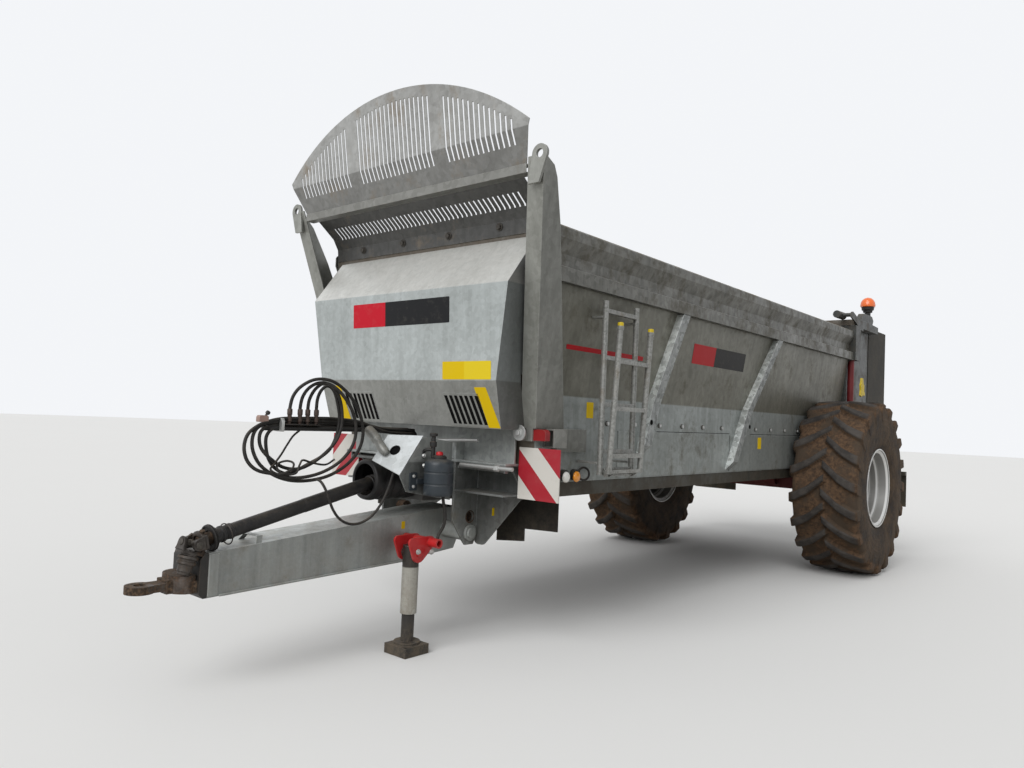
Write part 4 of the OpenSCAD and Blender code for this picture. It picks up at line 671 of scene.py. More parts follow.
finish = {
    # the darker colours above the flare at 1.44 are painted shade: that part of the wall leans out and faces a little
    # down
    "wall": zincMaterial("wallSheetZinc", (0.31, 0.335, 0.33), (0.175, 0.19, 0.182),
        bands=[(1.44, 0.006, (0.190, 0.188, 0.158), (0.104, 0.102, 0.083))], spangle=0.30, scale=34.0, streaks=0.75,
        stains=0.55, stain=(0.085, 0.078, 0.058), splash=0.35, splashHeight=1.35, onTop=0.5, edge=(0.42, 0.44, 0.43),
        specular=0.3),
    "rail": zincMaterial("topRailZinc", (0.20, 0.20, 0.185), (0.09, 0.09, 0.08), spangle=0.45, scale=28.0, streaks=0.9,
        stains=0.65, stain=(0.07, 0.062, 0.044), onTop=0.6, edge=(0.50, 0.52, 0.51), specular=0.3),
    # the rib faces turned to the sides get darker: painted shade
    "rib": zincMaterial("sideRibZinc", (0.82, 0.86, 0.85), (0.34, 0.36, 0.35), spangle=0.9, scale=38.0, streaks=0.8,
        stains=0.45, stain=(0.20, 0.19, 0.16), onTop=0.3, edge=(0.80, 0.83, 0.82), facingShades=[(0, 0, 0.36)]),
    # the post faces turned to the sides get darker: painted shade
    "post": zincMaterial("frontPostZinc", (0.33, 0.335, 0.31), (0.20, 0.203, 0.184), spangle=0.35, scale=36.0,
        streaks=0.75, stains=0.32, stain=(0.15, 0.125, 0.09), edge=(0.54, 0.55, 0.53), facingShades=[(0, 0, 0.69)]),
    # painted light and shade: the lower face darkest, the front face lighter above 1.494 and the top lightest above
    # 2.006, with painted shade on faces turned to the sides
    "hood": zincMaterial("hoodZinc", (0.34, 0.345, 0.33), (0.21, 0.215, 0.20),
        bands=[(1.494, 0.004, (0.50, 0.54, 0.54), (0.32, 0.345, 0.34)),
            (2.006, 0.004, (0.70, 0.705, 0.68), (0.48, 0.485, 0.462))],
        spangle=0.34, scale=46.0, streaks=0.55, stains=0.16, stain=(0.25, 0.215, 0.165), onTop=0.15, splash=0.1,
        edge=(0.64, 0.67, 0.67), facingShades=[(0, 0, 0.35)]),
    # painted light and shade by height: darkest below 2.552, lighter up to 2.752 and lightest above it
    "arch": zincMaterial("archSheetZinc", (0.110, 0.110, 0.108), (0.063, 0.063, 0.060),
        bands=[(2.552, 0.004, (0.286, 0.289, 0.283), (0.163, 0.163, 0.156)),
            (2.752, 0.004, (0.44, 0.445, 0.435), (0.25, 0.25, 0.24))],
        spangle=0.4, scale=40.0, streaks=0.6, stains=0.5, stain=(0.22, 0.175, 0.125), onTop=0.3, splash=0.0,
        edge=(0.5, 0.5, 0.47)),
    "beam": zincMaterial("crossbeamZinc", (0.275, 0.275, 0.258), (0.165, 0.165, 0.151), scale=32.0, streaks=0.3,
        stains=0.4, stain=(0.15, 0.12, 0.09), onTop=0.4, edge=(0.56, 0.56, 0.52)),
    # painted shade on faces turned to the sides and, more strongly, on faces turned down
    "drawbar": zincMaterial("drawbarZinc", (0.60, 0.63, 0.61), (0.37, 0.39, 0.38), spangle=0.18, scale=60.0,
        streaks=0.75, stains=0.45, stain=(0.24, 0.20, 0.15), splashHeight=0.9, onTop=0.25, edge=(0.62, 0.64, 0.63),
        rust=0.06, facingShades=[(0, 0, 0.56), (2, -1, 0.3)]),
    # darker below 1.04: painted shade on the low plates under the body
    "hitch": zincMaterial("hitchZinc", (0.20, 0.21, 0.205), (0.11, 0.115, 0.112),
        bands=[(1.04, 0.005, (0.40, 0.42, 0.41), (0.235, 0.25, 0.245))], scale=32.0, streaks=0.8,
        stains=0.42, splashHeight=1.0, edge=(0.58, 0.61, 0.61)),
    # the plate faces turned to the sides get darker: painted shade
    "plate": zincMaterial("servicePlateZinc", (0.62, 0.65, 0.66), (0.40, 0.42, 0.42), scale=30.0, streaks=0.4,
        stains=0.15, onTop=0.15, splash=0.1, metallic=0.45, edge=(0.75, 0.78, 0.78), facingShades=[(0, 0, 0.5)]),
    # very dark: partly the frame's own dirty colour, partly painted shade under the body
    "under": zincMaterial("underFrameZinc", (0.070, 0.068, 0.055), (0.035, 0.033, 0.027), spangle=0.3, scale=28.0,
        streaks=0.7, stains=0.75, stain=(0.04, 0.033, 0.025), splash=0.45, splashHeight=1.1, onTop=0.5,
        edge=(0.22, 0.22, 0.20), specular=0.25),
    "inside": zincMaterial("loadSheetZinc", (0.30, 0.30, 0.28), (0.15, 0.145, 0.13), spangle=0.25, scale=30.0,
        streaks=0.9, stains=0.9, stain=(0.085, 0.062, 0.04), onTop=0.8, rust=0.2, edge=(0.55, 0.55, 0.53)),
    "ladder": zincMaterial("ladderZinc", (0.33, 0.335, 0.32), (0.165, 0.165, 0.155), spangle=0.6, scale=80.0,
        streaks=0.5, stains=0.45, onTop=0.4, edge=(0.55, 0.57, 0.56)),
    # very dark: painted shade over the rear frame
    "rear": zincMaterial("rearFrameZinc", (0.080, 0.084, 0.080), (0.044, 0.046, 0.044), spangle=0.4, scale=32.0,
        streaks=0.8, stains=0.6, stain=(0.07, 0.055, 0.04), splash=0.4, splashHeight=1.6, onTop=0.5,
        edge=(0.38, 0.39, 0.38), specular=0.25),
    "jackTube": zincMaterial("jackTubeZinc", (0.45, 0.44, 0.40), (0.25, 0.24, 0.21),
        bands=[(0.466, 0.004, (0.055, 0.048, 0.042), (0.030, 0.026, 0.023))], spangle=0.25, scale=70.0, streaks=1.0,
        stains=0.55, stain=(0.12, 0.095, 0.06), splash=0.5, splashHeight=0.5, metallic=0.5, rust=0.12),
    "bolt": zincMaterial("boltZinc", (0.55, 0.56, 0.55), (0.33, 0.33, 0.32), spangle=0.2, scale=120.0, streaks=0.2,
        metallic=0.6, onTop=0.3),
    "darkBolt": wornSteelMaterial("darkBoltSteel", (0.09, 0.082, 0.072), rustAmount=0.45, roughness=0.45),
    "axle": paintMaterial("axleRedPaint", (0.12, 0.012, 0.012), chips=0.28, roughness=0.55, splash=0.6, onTop=0.6),
    "jackRed": paintMaterial("jackRedPaint", (0.50, 0.012, 0.016), chips=0.06, roughness=0.38, wear=0.3, onTop=0.15,
        splash=0.10, fade=0.08, coat=0.15),
    "cylinderRed": paintMaterial("cylinderRedPaint", (0.125, 0.003, 0.005), chips=0.12, roughness=0.42, onTop=0.2,
        splash=0.1),
    "blockRed": paintMaterial("blockRedPaint", (0.27, 0.008, 0.010), chips=0.10, roughness=0.45, onTop=0.2, splash=0.1,
        fade=0.05),
    "black": paintMaterial("blackPaint", (0.016, 0.0155, 0.015), chips=0.10, roughness=0.5, onTop=0.25, splash=0.2,
        under=(0.12, 0.085, 0.06), fade=0.06, dust=(0.12, 0.095, 0.07)),
    "shade": rubberMaterial("slotShade", (0.0045, 0.0045, 0.0045), (0.010, 0.010, 0.010), roughness=0.9, onTop=0.0,
        splash=0.0, specular=0.05),
    "jackLeg": paintMaterial("jackLegPaint", (0.024, 0.022, 0.020), chips=0.22, roughness=0.5, onTop=0.5, splash=0.7,
        splashHeight=0.22, fade=0.06, dust=(0.15, 0.12, 0.085)),
    "gearbox": paintMaterial("gearboxPaint", (0.09, 0.09, 0.087), chips=0.2, roughness=0.5, onTop=0.5, splash=0.3),
    "reservoir": paintMaterial("reservoirPaint", (0.028, 0.036, 0.044), chips=0.03, roughness=0.36, wear=0.3,
        onTop=0.25, splash=0.12, under=(0.12, 0.125, 0.13), fade=0.08),
    "rim": rimMaterial("rimPaint"),
    "hub": paintMaterial("hubPaint", (0.16, 0.155, 0.15), chips=0.35, roughness=0.6, onTop=0.4, splash=0.5),
    "yellowCap": paintMaterial("yellowCapPlastic", (0.58, 0.43, 0.010), roughness=0.45, wear=0.2, onTop=0.15,
        splash=0.05, under=(0.40, 0.30, 0.05), fade=0.05),
    "redKnob": paintMaterial("redKnobPlastic", (0.48, 0.010, 0.016), roughness=0.35, wear=0.15, onTop=0.1, splash=0.05,
        under=(0.35, 0.03, 0.03), fade=0.05),
    "guard": rubberMaterial("guardPlastic", (0.009, 0.009, 0.0095), (0.024, 0.023, 0.023), roughness=0.38, splash=0.12,
        scale=12.0, onTop=0.2),
    "hose": rubberMaterial("hoseRubber", (0.012, 0.0115, 0.011), (0.040, 0.036, 0.032), roughness=0.48, splash=0.1,
        scale=22.0),
    "shield": rubberMaterial("shieldRubber", (0.034, 0.032, 0.028), (0.066, 0.060, 0.050), roughness=0.7, splash=0.6,
        splashHeight=2.2, scale=4.0),
    "flap": rubberMaterial("flapRubber", (0.013, 0.012, 0.011), (0.030, 0.027, 0.022), roughness=0.75, splash=0.35,
        scale=6.0),
    "rusty": wornSteelMaterial("castBrownSteel", (0.12, 0.10, 0.085), rustAmount=0.72, grease=0.35),
    "dark": wornSteelMaterial("jointDarkSteel", (0.085, 0.075, 0.068), rustAmount=0.45, grease=0.75, roughness=0.4,
        pale=(0.085, 0.055, 0.038)),
    "head": wornSteelMaterial("capBrownSteel", (0.13, 0.105, 0.09), rustAmount=0.62, pale=(0.115, 0.070, 0.045),
        grease=0.5),
    "chain": wornSteelMaterial("chainSteel", (0.20, 0.165, 0.14), rustAmount=0.55, grease=0.2),
    "beater": wornSteelMaterial("beaterSteel", (0.24, 0.22, 0.20), rustAmount=0.5, pale=(0.15, 0.09, 0.055)),
    "rod": zincMaterial("rodChrome", (0.80, 0.80, 0.80), (0.66, 0.66, 0.66), spangle=0.1, scale=200.0, streaks=0.2,
        stains=0.1, metallic=0.95, onTop=0.1, splash=0.0, wear=0.2, edge=(0.85, 0.85, 0.85)),
    "stripes": stripeMaterial("markerStripes"),
    "amber": lensMaterial("amberLens", (0.92, 0.33, 0.010)),
    "beaconLens": lensMaterial("beaconLens", (0.88, 0.155, 0.008)),
    "clear": lensMaterial("clearLens", (0.93, 0.93, 0.90)),
    "tyre": tyreMaterial("muddyTyre"),
    "signHood": signMaterial("hoodSign", (0.54, 0.008, 0.024), second=(0.011, 0.0115, 0.013), split=(0, -0.129)),
    "signSide": signMaterial("sideSign", (0.40, 0.010, 0.014), second=(0.012, 0.0115, 0.011), split=(1, -0.30)),
    "signYellow": signMaterial("yellowSign", (0.72, 0.50, 0.004), second=(0.76, 0.58, 0.020), split=(0, 0.524),
        dull=0.05),
    "signPlain": signMaterial("plainYellowSign", (0.70, 0.48, 0.004), dull=0.05),
    "stripeRed": signMaterial("redStripe", (0.38, 0.006, 0.012)),
    "lever": zincMaterial("leverZinc", (0.26, 0.265, 0.25), (0.13, 0.13, 0.12), spangle=0.4, scale=50.0, streaks=0.4,
        stains=0.5, edge=(0.55, 0.56, 0.55)),
    "plug": paintMaterial("plugPlastic", (0.40, 0.27, 0.23), roughness=0.5, wear=0.2, onTop=0.3, splash=0.1,
        under=(0.3, 0.2, 0.17)),
    "brass": wornSteelMaterial("couplingSteel", (0.085, 0.060, 0.050), rustAmount=0.4, roughness=0.4,
        pale=(0.085, 0.035, 0.024)),
}
wearing = {
    "wall": "wall_left wall_right", "rail": "top_rail_left top_rail_right", "rib": "side_ribs",
    "post": "post_left post_right", "hood": "hood", "arch": "headboard", "beam": "crossbeam post_shoes",
    "drawbar": "drawbar", "hitch": "hitch_frame", "plate": "service_bracket", "under": "chassis rear_lights",
    "inside": "floor front_wall rear_door", "ladder": "ladder ladder_step", "rear": "rear_frame",
    "jackTube": "jack_tube", "axle": "axle", "jackRed": "jack_bracket", "cylinderRed": "door_cylinders",
    "black": "hose_holder rear_gearbox beacon front_lamps towing_head", "jackLeg": "jack_leg",
    "gearbox": "input_gearbox driveline", "reservoir": "reservoir", "rim": "rim_left rim_right",
    "hub": "hub_left hub_right", "guard": "guard_cone drive_shaft", "hose": "hose_coil cable_loop jack_hose",
    "shield": "rear_shields", "flap": "front_flaps", "rusty": "towing_eye", "dark": "shaft_yoke",
    "chain": "floor_chains chain_shafts", "beater": "beater_left beater_right", "rod": "door_rods",
    "stripes": "marker_boards", "tyre": "tyre_left tyre_right",
}
for key, names in wearing.items():
    for name in names.split():
        if name in nodes:
            nodes[name].data.materials.clear()
            nodes[name].data.materials.append(finish[key])
print("finishes made:", len(finish))

hoseSettings = {
    "radius": 0.0088,
    "sides": 14,
    "spacing": 0.012,
    # the knotted line that ties the coil: half thickness, and route in millimetres
    "tieRadius": 0.0055,
    "tieSpacing": 0.008,
    "tieRoute": [
        (-50, -3241, 1188), (-40, -3286, 1158), (-30, -3326, 1112), (-10, -3370, 1065), (30, -3429, 1025),
        (50, -3464, 995), (75, -3427, 974), (85, -3368, 998), (70, -3349, 1027), (40, -3374, 1036), (30, -3418, 1016),
        (60, -3407, 975), (90, -3348, 976), (80, -3319, 1017), (60, -3287, 1040), (50, -3224, 1025), (50, -3140, 1014),
        (70, -3097, 1043)],
    # a coupling: height over the plate and radius
    "coupling": [(0.0, 0.0100), (0.010, 0.0100), (0.012, 0.0140), (0.030, 0.0140), (0.032, 0.0112), (0.046, 0.0112),
        (0.048, 0.0135), (0.074, 0.0135), (0.078, 0.0110), (0.079, 0.0060)],
    "armRoute": [
        (-40, -3465, 1198), (-40, -3100, 1199), (-40, -2520, 1198), (-40, -2452, 1190), (-40, -2430, 1150),
        (-40, -2424, 1060)],
    "armRadius": 0.0135,
    "shelfHeight": 1.2215,      # top of the plate that the couplings stand on
    # outlines of the strap round the bundle and of the plug, and the plug's knob
    "strap": [(-0.034, -0.024), (0.034, -0.024), (0.036, 0.030), (0.026, 0.046), (-0.026, 0.046), (-0.036, 0.030)],
    "plug": [(-0.026, -0.016), (0.026, -0.016), (0.026, 0.012), (0.018, 0.018), (-0.020, 0.018), (-0.026, 0.010)],
    "knob": [(0, 0.006), (0.008, 0.006), (0.010, 0.011), (0.020, 0.012), (0.026, 0.009), (0.028, 0.003)],
}
# each hose rises from its coupling, makes its loop and comes back along the arm to the frame, in millimetres
hoseLoops = {
    "hoseOuter": [
        (-30, -3320, 1242), (-30, -3322, 1288), (-25, -3310, 1362), (-5, -3275, 1419), (20, -3208, 1458),
        (40, -3126, 1457), (52, -3052, 1419), (60, -2984, 1354), (64, -2933, 1268), (66, -2915, 1175),
        (66, -2938, 1092), (64, -3001, 1021), (62, -3095, 967), (58, -3201, 939), (50, -3321, 935), (40, -3423, 960),
        (28, -3506, 1014), (20, -3547, 1082), (8, -3548, 1146), (-8, -3517, 1195), (-30, -3447, 1222),
        (-36, -3361, 1231), (-38, -3258, 1237), (-38, -3140, 1240), (-38, -3017, 1239), (-38, -2860, 1232),
        (-20, -2690, 1206), (-12, -2470, 1203)],
    "hoseSecond": [
        (-30, -3258, 1244), (-30, -3260, 1300), (-20, -3254, 1365), (-2, -3227, 1415), (16, -3180, 1442),
        (30, -3123, 1435), (36, -3075, 1390), (38, -3046, 1315), (40, -3041, 1223), (40, -3071, 1141),
        (38, -3127, 1081), (34, -3203, 1027), (28, -3287, 994), (20, -3372, 1002), (14, -3441, 1043), (8, -3491, 1090),
        (0, -3505, 1137), (-12, -3490, 1182), (-30, -3438, 1206), (-42, -3357, 1215), (-46, -3252, 1223),
        (-46, -3134, 1228), (-46, -3010, 1227), (-52, -2860, 1222), (-66, -2690, 1190), (-68, -2470, 1183)],
    "hoseThird": [
        (-30, -3211, 1245), (-30, -3212, 1302), (-22, -3209, 1357), (-6, -3186, 1411), (22, -3151, 1441),
        (50, -3104, 1422), (72, -3050, 1366), (80, -2998, 1287), (82, -2976, 1195), (80, -2994, 1113),
        (76, -3052, 1042), (74, -3135, 992), (72, -3235, 961), (66, -3344, 952), (56, -3447, 973), (44, -3533, 993),
        (34, -3583, 1037), (24, -3599, 1101), (12, -3578, 1163), (-6, -3523, 1202), (-24, -3451, 1229),
        (-30, -3366, 1247), (-32, -3263, 1251), (-34, -3144, 1255), (-34, -3021, 1254), (-30, -2860, 1240),
        (-12, -2690, 1190), (-12, -2470, 1181)],
    "hoseFourth": [
        (-30, -3157, 1246), (-32, -3157, 1304), (-30, -3154, 1360), (-20, -3140, 1405), (0, -3117, 1429),
        (14, -3086, 1407), (18, -3060, 1343), (18, -3042, 1263), (18, -3051, 1181), (18, -3086, 1102),
        (16, -3143, 1054), (12, -3216, 1018), (8, -3287, 984), (2, -3345, 969), (-4, -3402, 994), (-10, -3440, 1042),
        (-14, -3456, 1098), (-22, -3453, 1155), (-34, -3417, 1191), (-50, -3351, 1203), (-54, -3246, 1209),
        (-54, -3127, 1214), (-54, -3003, 1212), (-58, -2860, 1214), (-68, -2690, 1208), (-68, -2470, 1205)],
}


def makeHoses(s, loops):
    # each hose is a ring carried along its smoothed route, with a pressed sleeve and a coupling at its upper end
    for name, points in loops.items():
        path = smoothRoute(np.array(points[::-1]) / 1000, s["spacing"])
        hose = buildPiece(name, *tubeAlong(path, s["radius"], s["sides"]), finish["hose"], slot="hose_rubber")
        foot = path[-1] * [1, 1, 0] + [0, 0, s["shelfHeight"]]
        coupling = buildPiece(name + "Coupling", *turnProfile(s["coupling"], foot, zWay, 18), finish["brass"],
            slot="rusty_steel")
        print(name, "is", round(routeLength(path), 3), "m long")
    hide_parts("hose_coil")
    tie = smoothRoute(np.array(s["tieRoute"]) / 1000, s["tieSpacing"])
    line = buildPiece("coilTie", *tubeAlong(tie, s["tieRadius"], 8), finish["hose"], slot="hose_rubber")
    print("coilTie is", round(routeLength(tie), 3), "m long")


def makeHoseHolder(s):
    # the arm with the plate the couplings stand on, the strap round the bundle and the plug with its knob
    arm = tubeAlong(smoothRoute(np.array(s["armRoute"]) / 1000, 0.020), s["armRadius"], 16)
    shelf = outlinePlate(rectangle(0.215, 0.052), (-0.006, -3.352, 1.2155), yWay, (-1, 0, 0), 0.006, 0.004)
    holder = buildPiece("hoseArm", *joinShapes([arm, shelf]), finish["black"])
    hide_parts("hose_holder")
    buildPiece("bundleStrap", *frontPlate(s["strap"], (-0.040, -3.362, 1.205), 0.016, 0.006), finish["bolt"])
    buildPiece("plugBlock", *sidePlate(s["plug"], (-0.048, -3.474, 1.243), 0.032, 0.005), finish["plug"])
    buildPiece("plugKnob", *turnProfile(s["knob"], (-0.034, -3.455, 1.260), (0.2, 0.5, 0.84), 16), finish["black"])


makeHoses(hoseSettings, hoseLoops)
makeHoseHolder(hoseSettings)

# the two cables keep the routes of the model, in millimetres; y is counted from the front posts' feet
cableRoute = [[105.3, -880, 945], [128, -879, 941], [150, -876, 927], [167, -870, 904], [178, -861, 873],
    [184, -848, 836], [187, -828, 795], [190, -799, 757], [192, -762, 730], [195, -722, 716], [198, -680, 714],
    [202, -638, 724], [207, -598, 746], [212, -566, 776], [218, -541, 812], [224, -522, 850], [230, -508, 888],
    [236, -498, 925], [241, -490, 962], [246, -482, 998], [250, -470, 1030], [254, -450, 1055], [257, -425, 1068],
    [258, -402, 1069.5], [258, -377.8, 1064.5], [258, -353.6, 1058.5]]
jackRoute = [[400, -260, 860.8], [401, -258, 838], [404, -254, 812], [407, -250, 786], [410, -248, 760],
    [411, -247, 735], [409, -248, 711], [404, -251, 690], [397, -256, 672], [390, -261, 658], [385, -265, 645],
    [383, -268, 625.8]]
cableSettings = {
    "thinCable": {"route": cableRoute, "radius": 0.007, "node": "cable_loop", "stiffness": "medium"},
    "jackFeedHose": {"route": jackRoute, "radius": 0.009, "node": "jack_hose", "stiffness": "stiff"},
}


def makeCables(settings):
    for name, s in settings.items():
        points = np.array(s["route"], float) / 1000 + [0, -2.350, 0]
        path = smoothRoute(points, 0.010)
        cable = buildPiece(name, *tubeAlong(path, s["radius"], 12), finish["hose"], slot="hose_rubber")
        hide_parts(s["node"])
        print(name, "is", round(routeLength(path), 3), "m long")


makeCables(cableSettings)

tyreShape = {
    "columns": 1080,
    "spacing": 0.0155,
    # flank and tread from bead to bead: distance from the tyre's middle plane, distance from the axle
    "section": [(-0.232, 0.334), (-0.250, 0.366), (-0.272, 0.420), (-0.286, 0.500), (-0.2895, 0.580), (-0.286, 0.655),
        (-0.280, 0.705), (-0.268, 0.735), (-0.238, 0.750), (-0.120, 0.750), (0.0, 0.748), (0.120, 0.750),
        (0.238, 0.750), (0.268, 0.735), (0.280, 0.705), (0.286, 0.655), (0.2895, 0.580), (0.286, 0.500), (0.272, 0.420),
        (0.250, 0.366), (0.232, 0.334)],
    "lugs": 20,
    # along the tread from its middle: place, turn in degrees, width, height of the crest over the axle
    "lugPlace": [-0.012, 0.128, 0.2805, 0.36, 0.42],
    "lugTurn": [0.0, 9.0, 15.2, 16.6, 17.0],
    "lugWidth": [0.068, 0.075, 0.086, 0.072, 0.040],
    "lugCrest": [0.8, 0.798, 0.786, 0.742, 0.700],
    "slope": 0.013,
    "lead": 0.022 / 0.78,       # turn of the pattern from the lowest point, in radians
    # a lug rises from one place to the next beside the middle, and sinks again on the flank
    "begin": (-0.020, -0.004), "end": (0.355, 0.405),
    "rise": (0.010, 0.052),     # least and most height of a lug
    "wave": 0.0012,             # unevenness of the mud
    "radius": 0.8, "halfWidth": 0.2905,
}


def easedStep(value, low, high):
    # 0 below low, 1 above high and t * t * (3 - 2 * t) between them
    t = np.clip((value - low) / (high - low), 0, 1)
    return t * t * (3 - 2 * t)


def tyreSurface(s):
    # the section is turned about the axle; height of a lug = crest height * easedStep(distance to the lug's edge),
    # and each half of the tread has its own lugs, half a step apart
    section = smoothRoute(s["section"], s["spacing"])
    x, r = section[:, :1], section[:, 1:]
    along = np.concatenate([[0], np.cumsum(np.linalg.norm(np.diff(section, axis=0), axis=1))])[:, None]
    along = along - np.interp(0.0, section[:, 0], along[:, 0])
    a = np.linspace(0, 2 * np.pi, s["columns"], endpoint=False)[None, :]
    slope = unit(np.gradient(section, axis=0))
    outX, outR = -slope[:, 1:], slope[:, :1]
    outX, outR = np.where(outR < 0, -outX, outX), np.abs(outR)
    outX = np.where(np.abs(x) > 0.2, np.sign(x) * np.abs(outX), outX * 0.2)
    rise = np.zeros((len(section), s["columns"]))
    step = 2 * np.pi / s["lugs"]
    for sign, phase in ((1, 0.0), (-1, step / 2)):
        t = sign * along
        width = np.interp(t, s["lugPlace"], s["lugWidth"])
        middle = np.radians(np.interp(t, s["lugPlace"], s["lugTurn"])) + s["lead"] + phase
        crest = np.interp(t, s["lugPlace"], s["lugCrest"])
        off = np.abs((a - middle + step / 2) % step - step / 2) * r
        side = easedStep(width / 2 - off, -s["slope"] / 2, s["slope"] / 2)
        span = easedStep(t, *s["begin"]) * (1 - easedStep(t, *s["end"]))
        rise = np.maximum(rise, side * span * np.clip(crest - r, *s["rise"]))
    rise = rise + s["wave"] * np.sin(7 * a + 27 * along) * np.sin(23 * a - 31 * along)
    px = np.clip(x + rise * outX, -s["halfWidth"], s["halfWidth"])
    pr = np.minimum(r + rise * np.maximum(outR, 0.35), s["radius"])
    cx, cy, cz = axlePlace
    points = np.stack([cx + px, cy + pr * np.sin(a), cz - pr * np.cos(a)], -1)
    return points.reshape(-1, 3), gridFaces(len(section), s["columns"], wrapRows=True)


def makeTyres(s):
    shape = tyreSurface(s)
    made = buildSides({"tyre": (shape, "tyre", "tyre")}, "wheel_", sharp=180)
    for side in ("left", "right"):
        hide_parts("tyre_" + side)
    print("tyres:", len(shape[1]) * 2, "triangles each")


makeTyres(tyreShape)

rimShape = {
    # closed section of the pressed sheet: distance from the middle plane, distance from the axle
    "section": [
        (-0.262, 0.350), (-0.262, 0.362), (-0.254, 0.362), (-0.247, 0.354), (-0.230, 0.330), (-0.152, 0.327),
        (-0.112, 0.291), (0.070, 0.291), (0.090, 0.304), (0.141, 0.308), (0.152, 0.326), (0.230, 0.330),
        (0.247, 0.354), (0.254, 0.362), (0.262, 0.362), (0.262, 0.350), (0.253, 0.347), (0.237, 0.322),
        (0.160, 0.318), (0.150, 0.299), (0.097, 0.296), (0.086, 0.281), (0.072, 0.272), (0.068, 0.240),
        (0.072, 0.205), (0.078, 0.182), (0.086, 0.165), (0.086, 0.112), (0.076, 0.112), (0.076, 0.160),
        (0.062, 0.185), (0.058, 0.262), (0.040, 0.282), (-0.112, 0.282), (-0.156, 0.319), (-0.236, 0.322),
        (-0.252, 0.347)],
    "ease": 0.004,
    "nutCircle": 0.140,
    "nutPlane": 0.086,
    "nuts": 10,
    "stud": [(0, 0.0105), (0.034, 0.0105), (0.036, 0.008)],
    "cap": [(-0.030, 0.085), (0.030, 0.085), (0.034, 0.080), (0.046, 0.060), (0.050, 0.034), (0.051, 0.001)],
    "valve": [(0.150, 0.0, 0.302), (0.168, 0.0, 0.296), (0.196, 0.0, 0.292), (0.212, 0.0, 0.291)],
}


def makeRims(s):
    # the pressed section is turned about the axle; the nuts are hexagons on washers set round one circle
    centre = np.array(axlePlace)
    rim = turnProfile(easedCorners(s["section"], s["ease"], 3), centre, xWay, 120, start=zWay, closed=True)
    spots = circle(s["nutCircle"], s["nuts"])
    ring = centre + np.column_stack([np.full(s["nuts"], s["nutPlane"]), spots * [1, -1]])
    nuts = repeatedShape(hexHead(0.030, 0.022, 0.040, 0.004), ring, xWay)
    studs = repeatedShape(turnProfile(s["stud"], zero, zWay, 12), ring, xWay)
    cap = turnProfile(s["cap"], centre + [0.060, 0, 0], xWay, 48)
    stem = tubeAlong(centre + s["valve"], 0.005, 10)
    made = buildSides({"rim": (rim, "rim", "rim_white"), "wheelNuts": (joinShapes([nuts, studs]), "bolt", "rim_white"),
        "hubCap": (cap, "hub", "hub_grey"), "valveStem": (stem, "hose", "hose_rubber")}, "wheel_")
    for side in ("left", "right"):
        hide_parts("rim_" + side)


makeRims(rimShape)
print("wheels made")

shaftShape = {
    "start": (0.0, -2.709, 0.922),
    "dip": 12.0, "swing": 4.5,      # degrees
    "joint": 1.185,     # distance of the joint from the start
    "yokeEnd": (0.09321, -3.89338, 0.57469),
    # distance from the start and radius of the guard over the shaft
    "guard": [(0.044, 0.020), (0.044, 0.036), (0.048, 0.043), (0.052, 0.043), (0.056, 0.038), (0.064, 0.043),
        (0.076, 0.043), (0.080, 0.038), (0.088, 0.043), (0.100, 0.043), (0.104, 0.0385), (0.130, 0.0370),
        (0.560, 0.0360), (0.562, 0.0345), (0.985, 0.0340), (0.989, 0.0375), (1.000, 0.0375), (1.004, 0.0345),
        (1.030, 0.0345), (1.034, 0.0390), (1.046, 0.0390), (1.050, 0.0345), (1.062, 0.0345), (1.066, 0.0390),
        (1.078, 0.0390), (1.082, 0.0345), (1.094, 0.0335), (1.095, 0.0200)],
    "ring": [(1.084, 0.036), (1.087, 0.056), (1.090, 0.061), (1.094, 0.063), (1.096, 0.059), (1.099, 0.059),
        (1.101, 0.063), (1.106, 0.061), (1.108, 0.055), (1.102, 0.052), (1.100, 0.036)],
    "sleeve": [(1.088, 0.022), (1.090, 0.029), (1.132, 0.029), (1.134, 0.035), (1.150, 0.035), (1.153, 0.030),
        (1.156, 0.022)],
    "collar": [(1.136, 0.030), (1.140, 0.044), (1.146, 0.049), (1.156, 0.049), (1.160, 0.044), (1.162, 0.030)],
    # distance below the joint and radius of the yoke's hub
    "hub": [(0.034, 0.020), (0.036, 0.036), (0.052, 0.036), (0.055, 0.043), (0.059, 0.045), (0.067, 0.045),
        (0.070, 0.038), (0.078, 0.037), (0.081, 0.043), (0.091, 0.043), (0.094, 0.034), (0.106, 0.032), (0.124, 0.032),
        (0.127, 0.028), (0.137, 0.027), (0.139, 0.018), (0.120, 0.016)],
    "wire": (1.012, 0.049), "wireRadius": 0.0032, "wireDrop": 0.008,
    "pin": [(0, 0.010), (0.014, 0.010), (0.016, 0.013), (0.022, 0.012), (0.024, 0.005)],
    "fork": {"reach": 0.034, "half": 0.057, "eye": 0.026, "thick": 0.016},
    "peg": [(-0.061, 0.013), (-0.060, 0.016), (0.060, 0.016), (0.061, 0.013)],
    "core": [(-0.018, 0.012), (-0.014, 0.018), (0.014, 0.018), (0.018, 0.012)],
}


def forkArms(centre, along, hinge, reach, half, eye, thick):
    # two arms with round ends about the centre, on a bridge; each outline is the eye's arc and two straight edges
    # that spread to the base
    a = np.linspace(-np.pi / 2, np.pi / 2, 13)
    outline = np.vstack([np.stack([eye * np.cos(a), eye * np.sin(a)], 1),
        [(-reach * 0.5, eye * 1.05), (-reach, eye * 1.30), (-reach, -eye * 1.30), (-reach * 0.5, -eye * 1.05)]])
    upward = np.cross(hinge, along)
    shapes = [outlinePlate(outline, centre + hinge * start, along, upward, thick, 0.0)
        for start in (half - thick, -half)]
    bridge = outlinePlate([(-half, -eye * 1.25), (half, -eye * 1.25), (half, eye * 1.25), (-half, eye * 1.25)],
        centre - along * (reach + 0.012), hinge, np.cross(along, hinge), 0.016, 0.010)
    return joinShapes(shapes + [bridge])


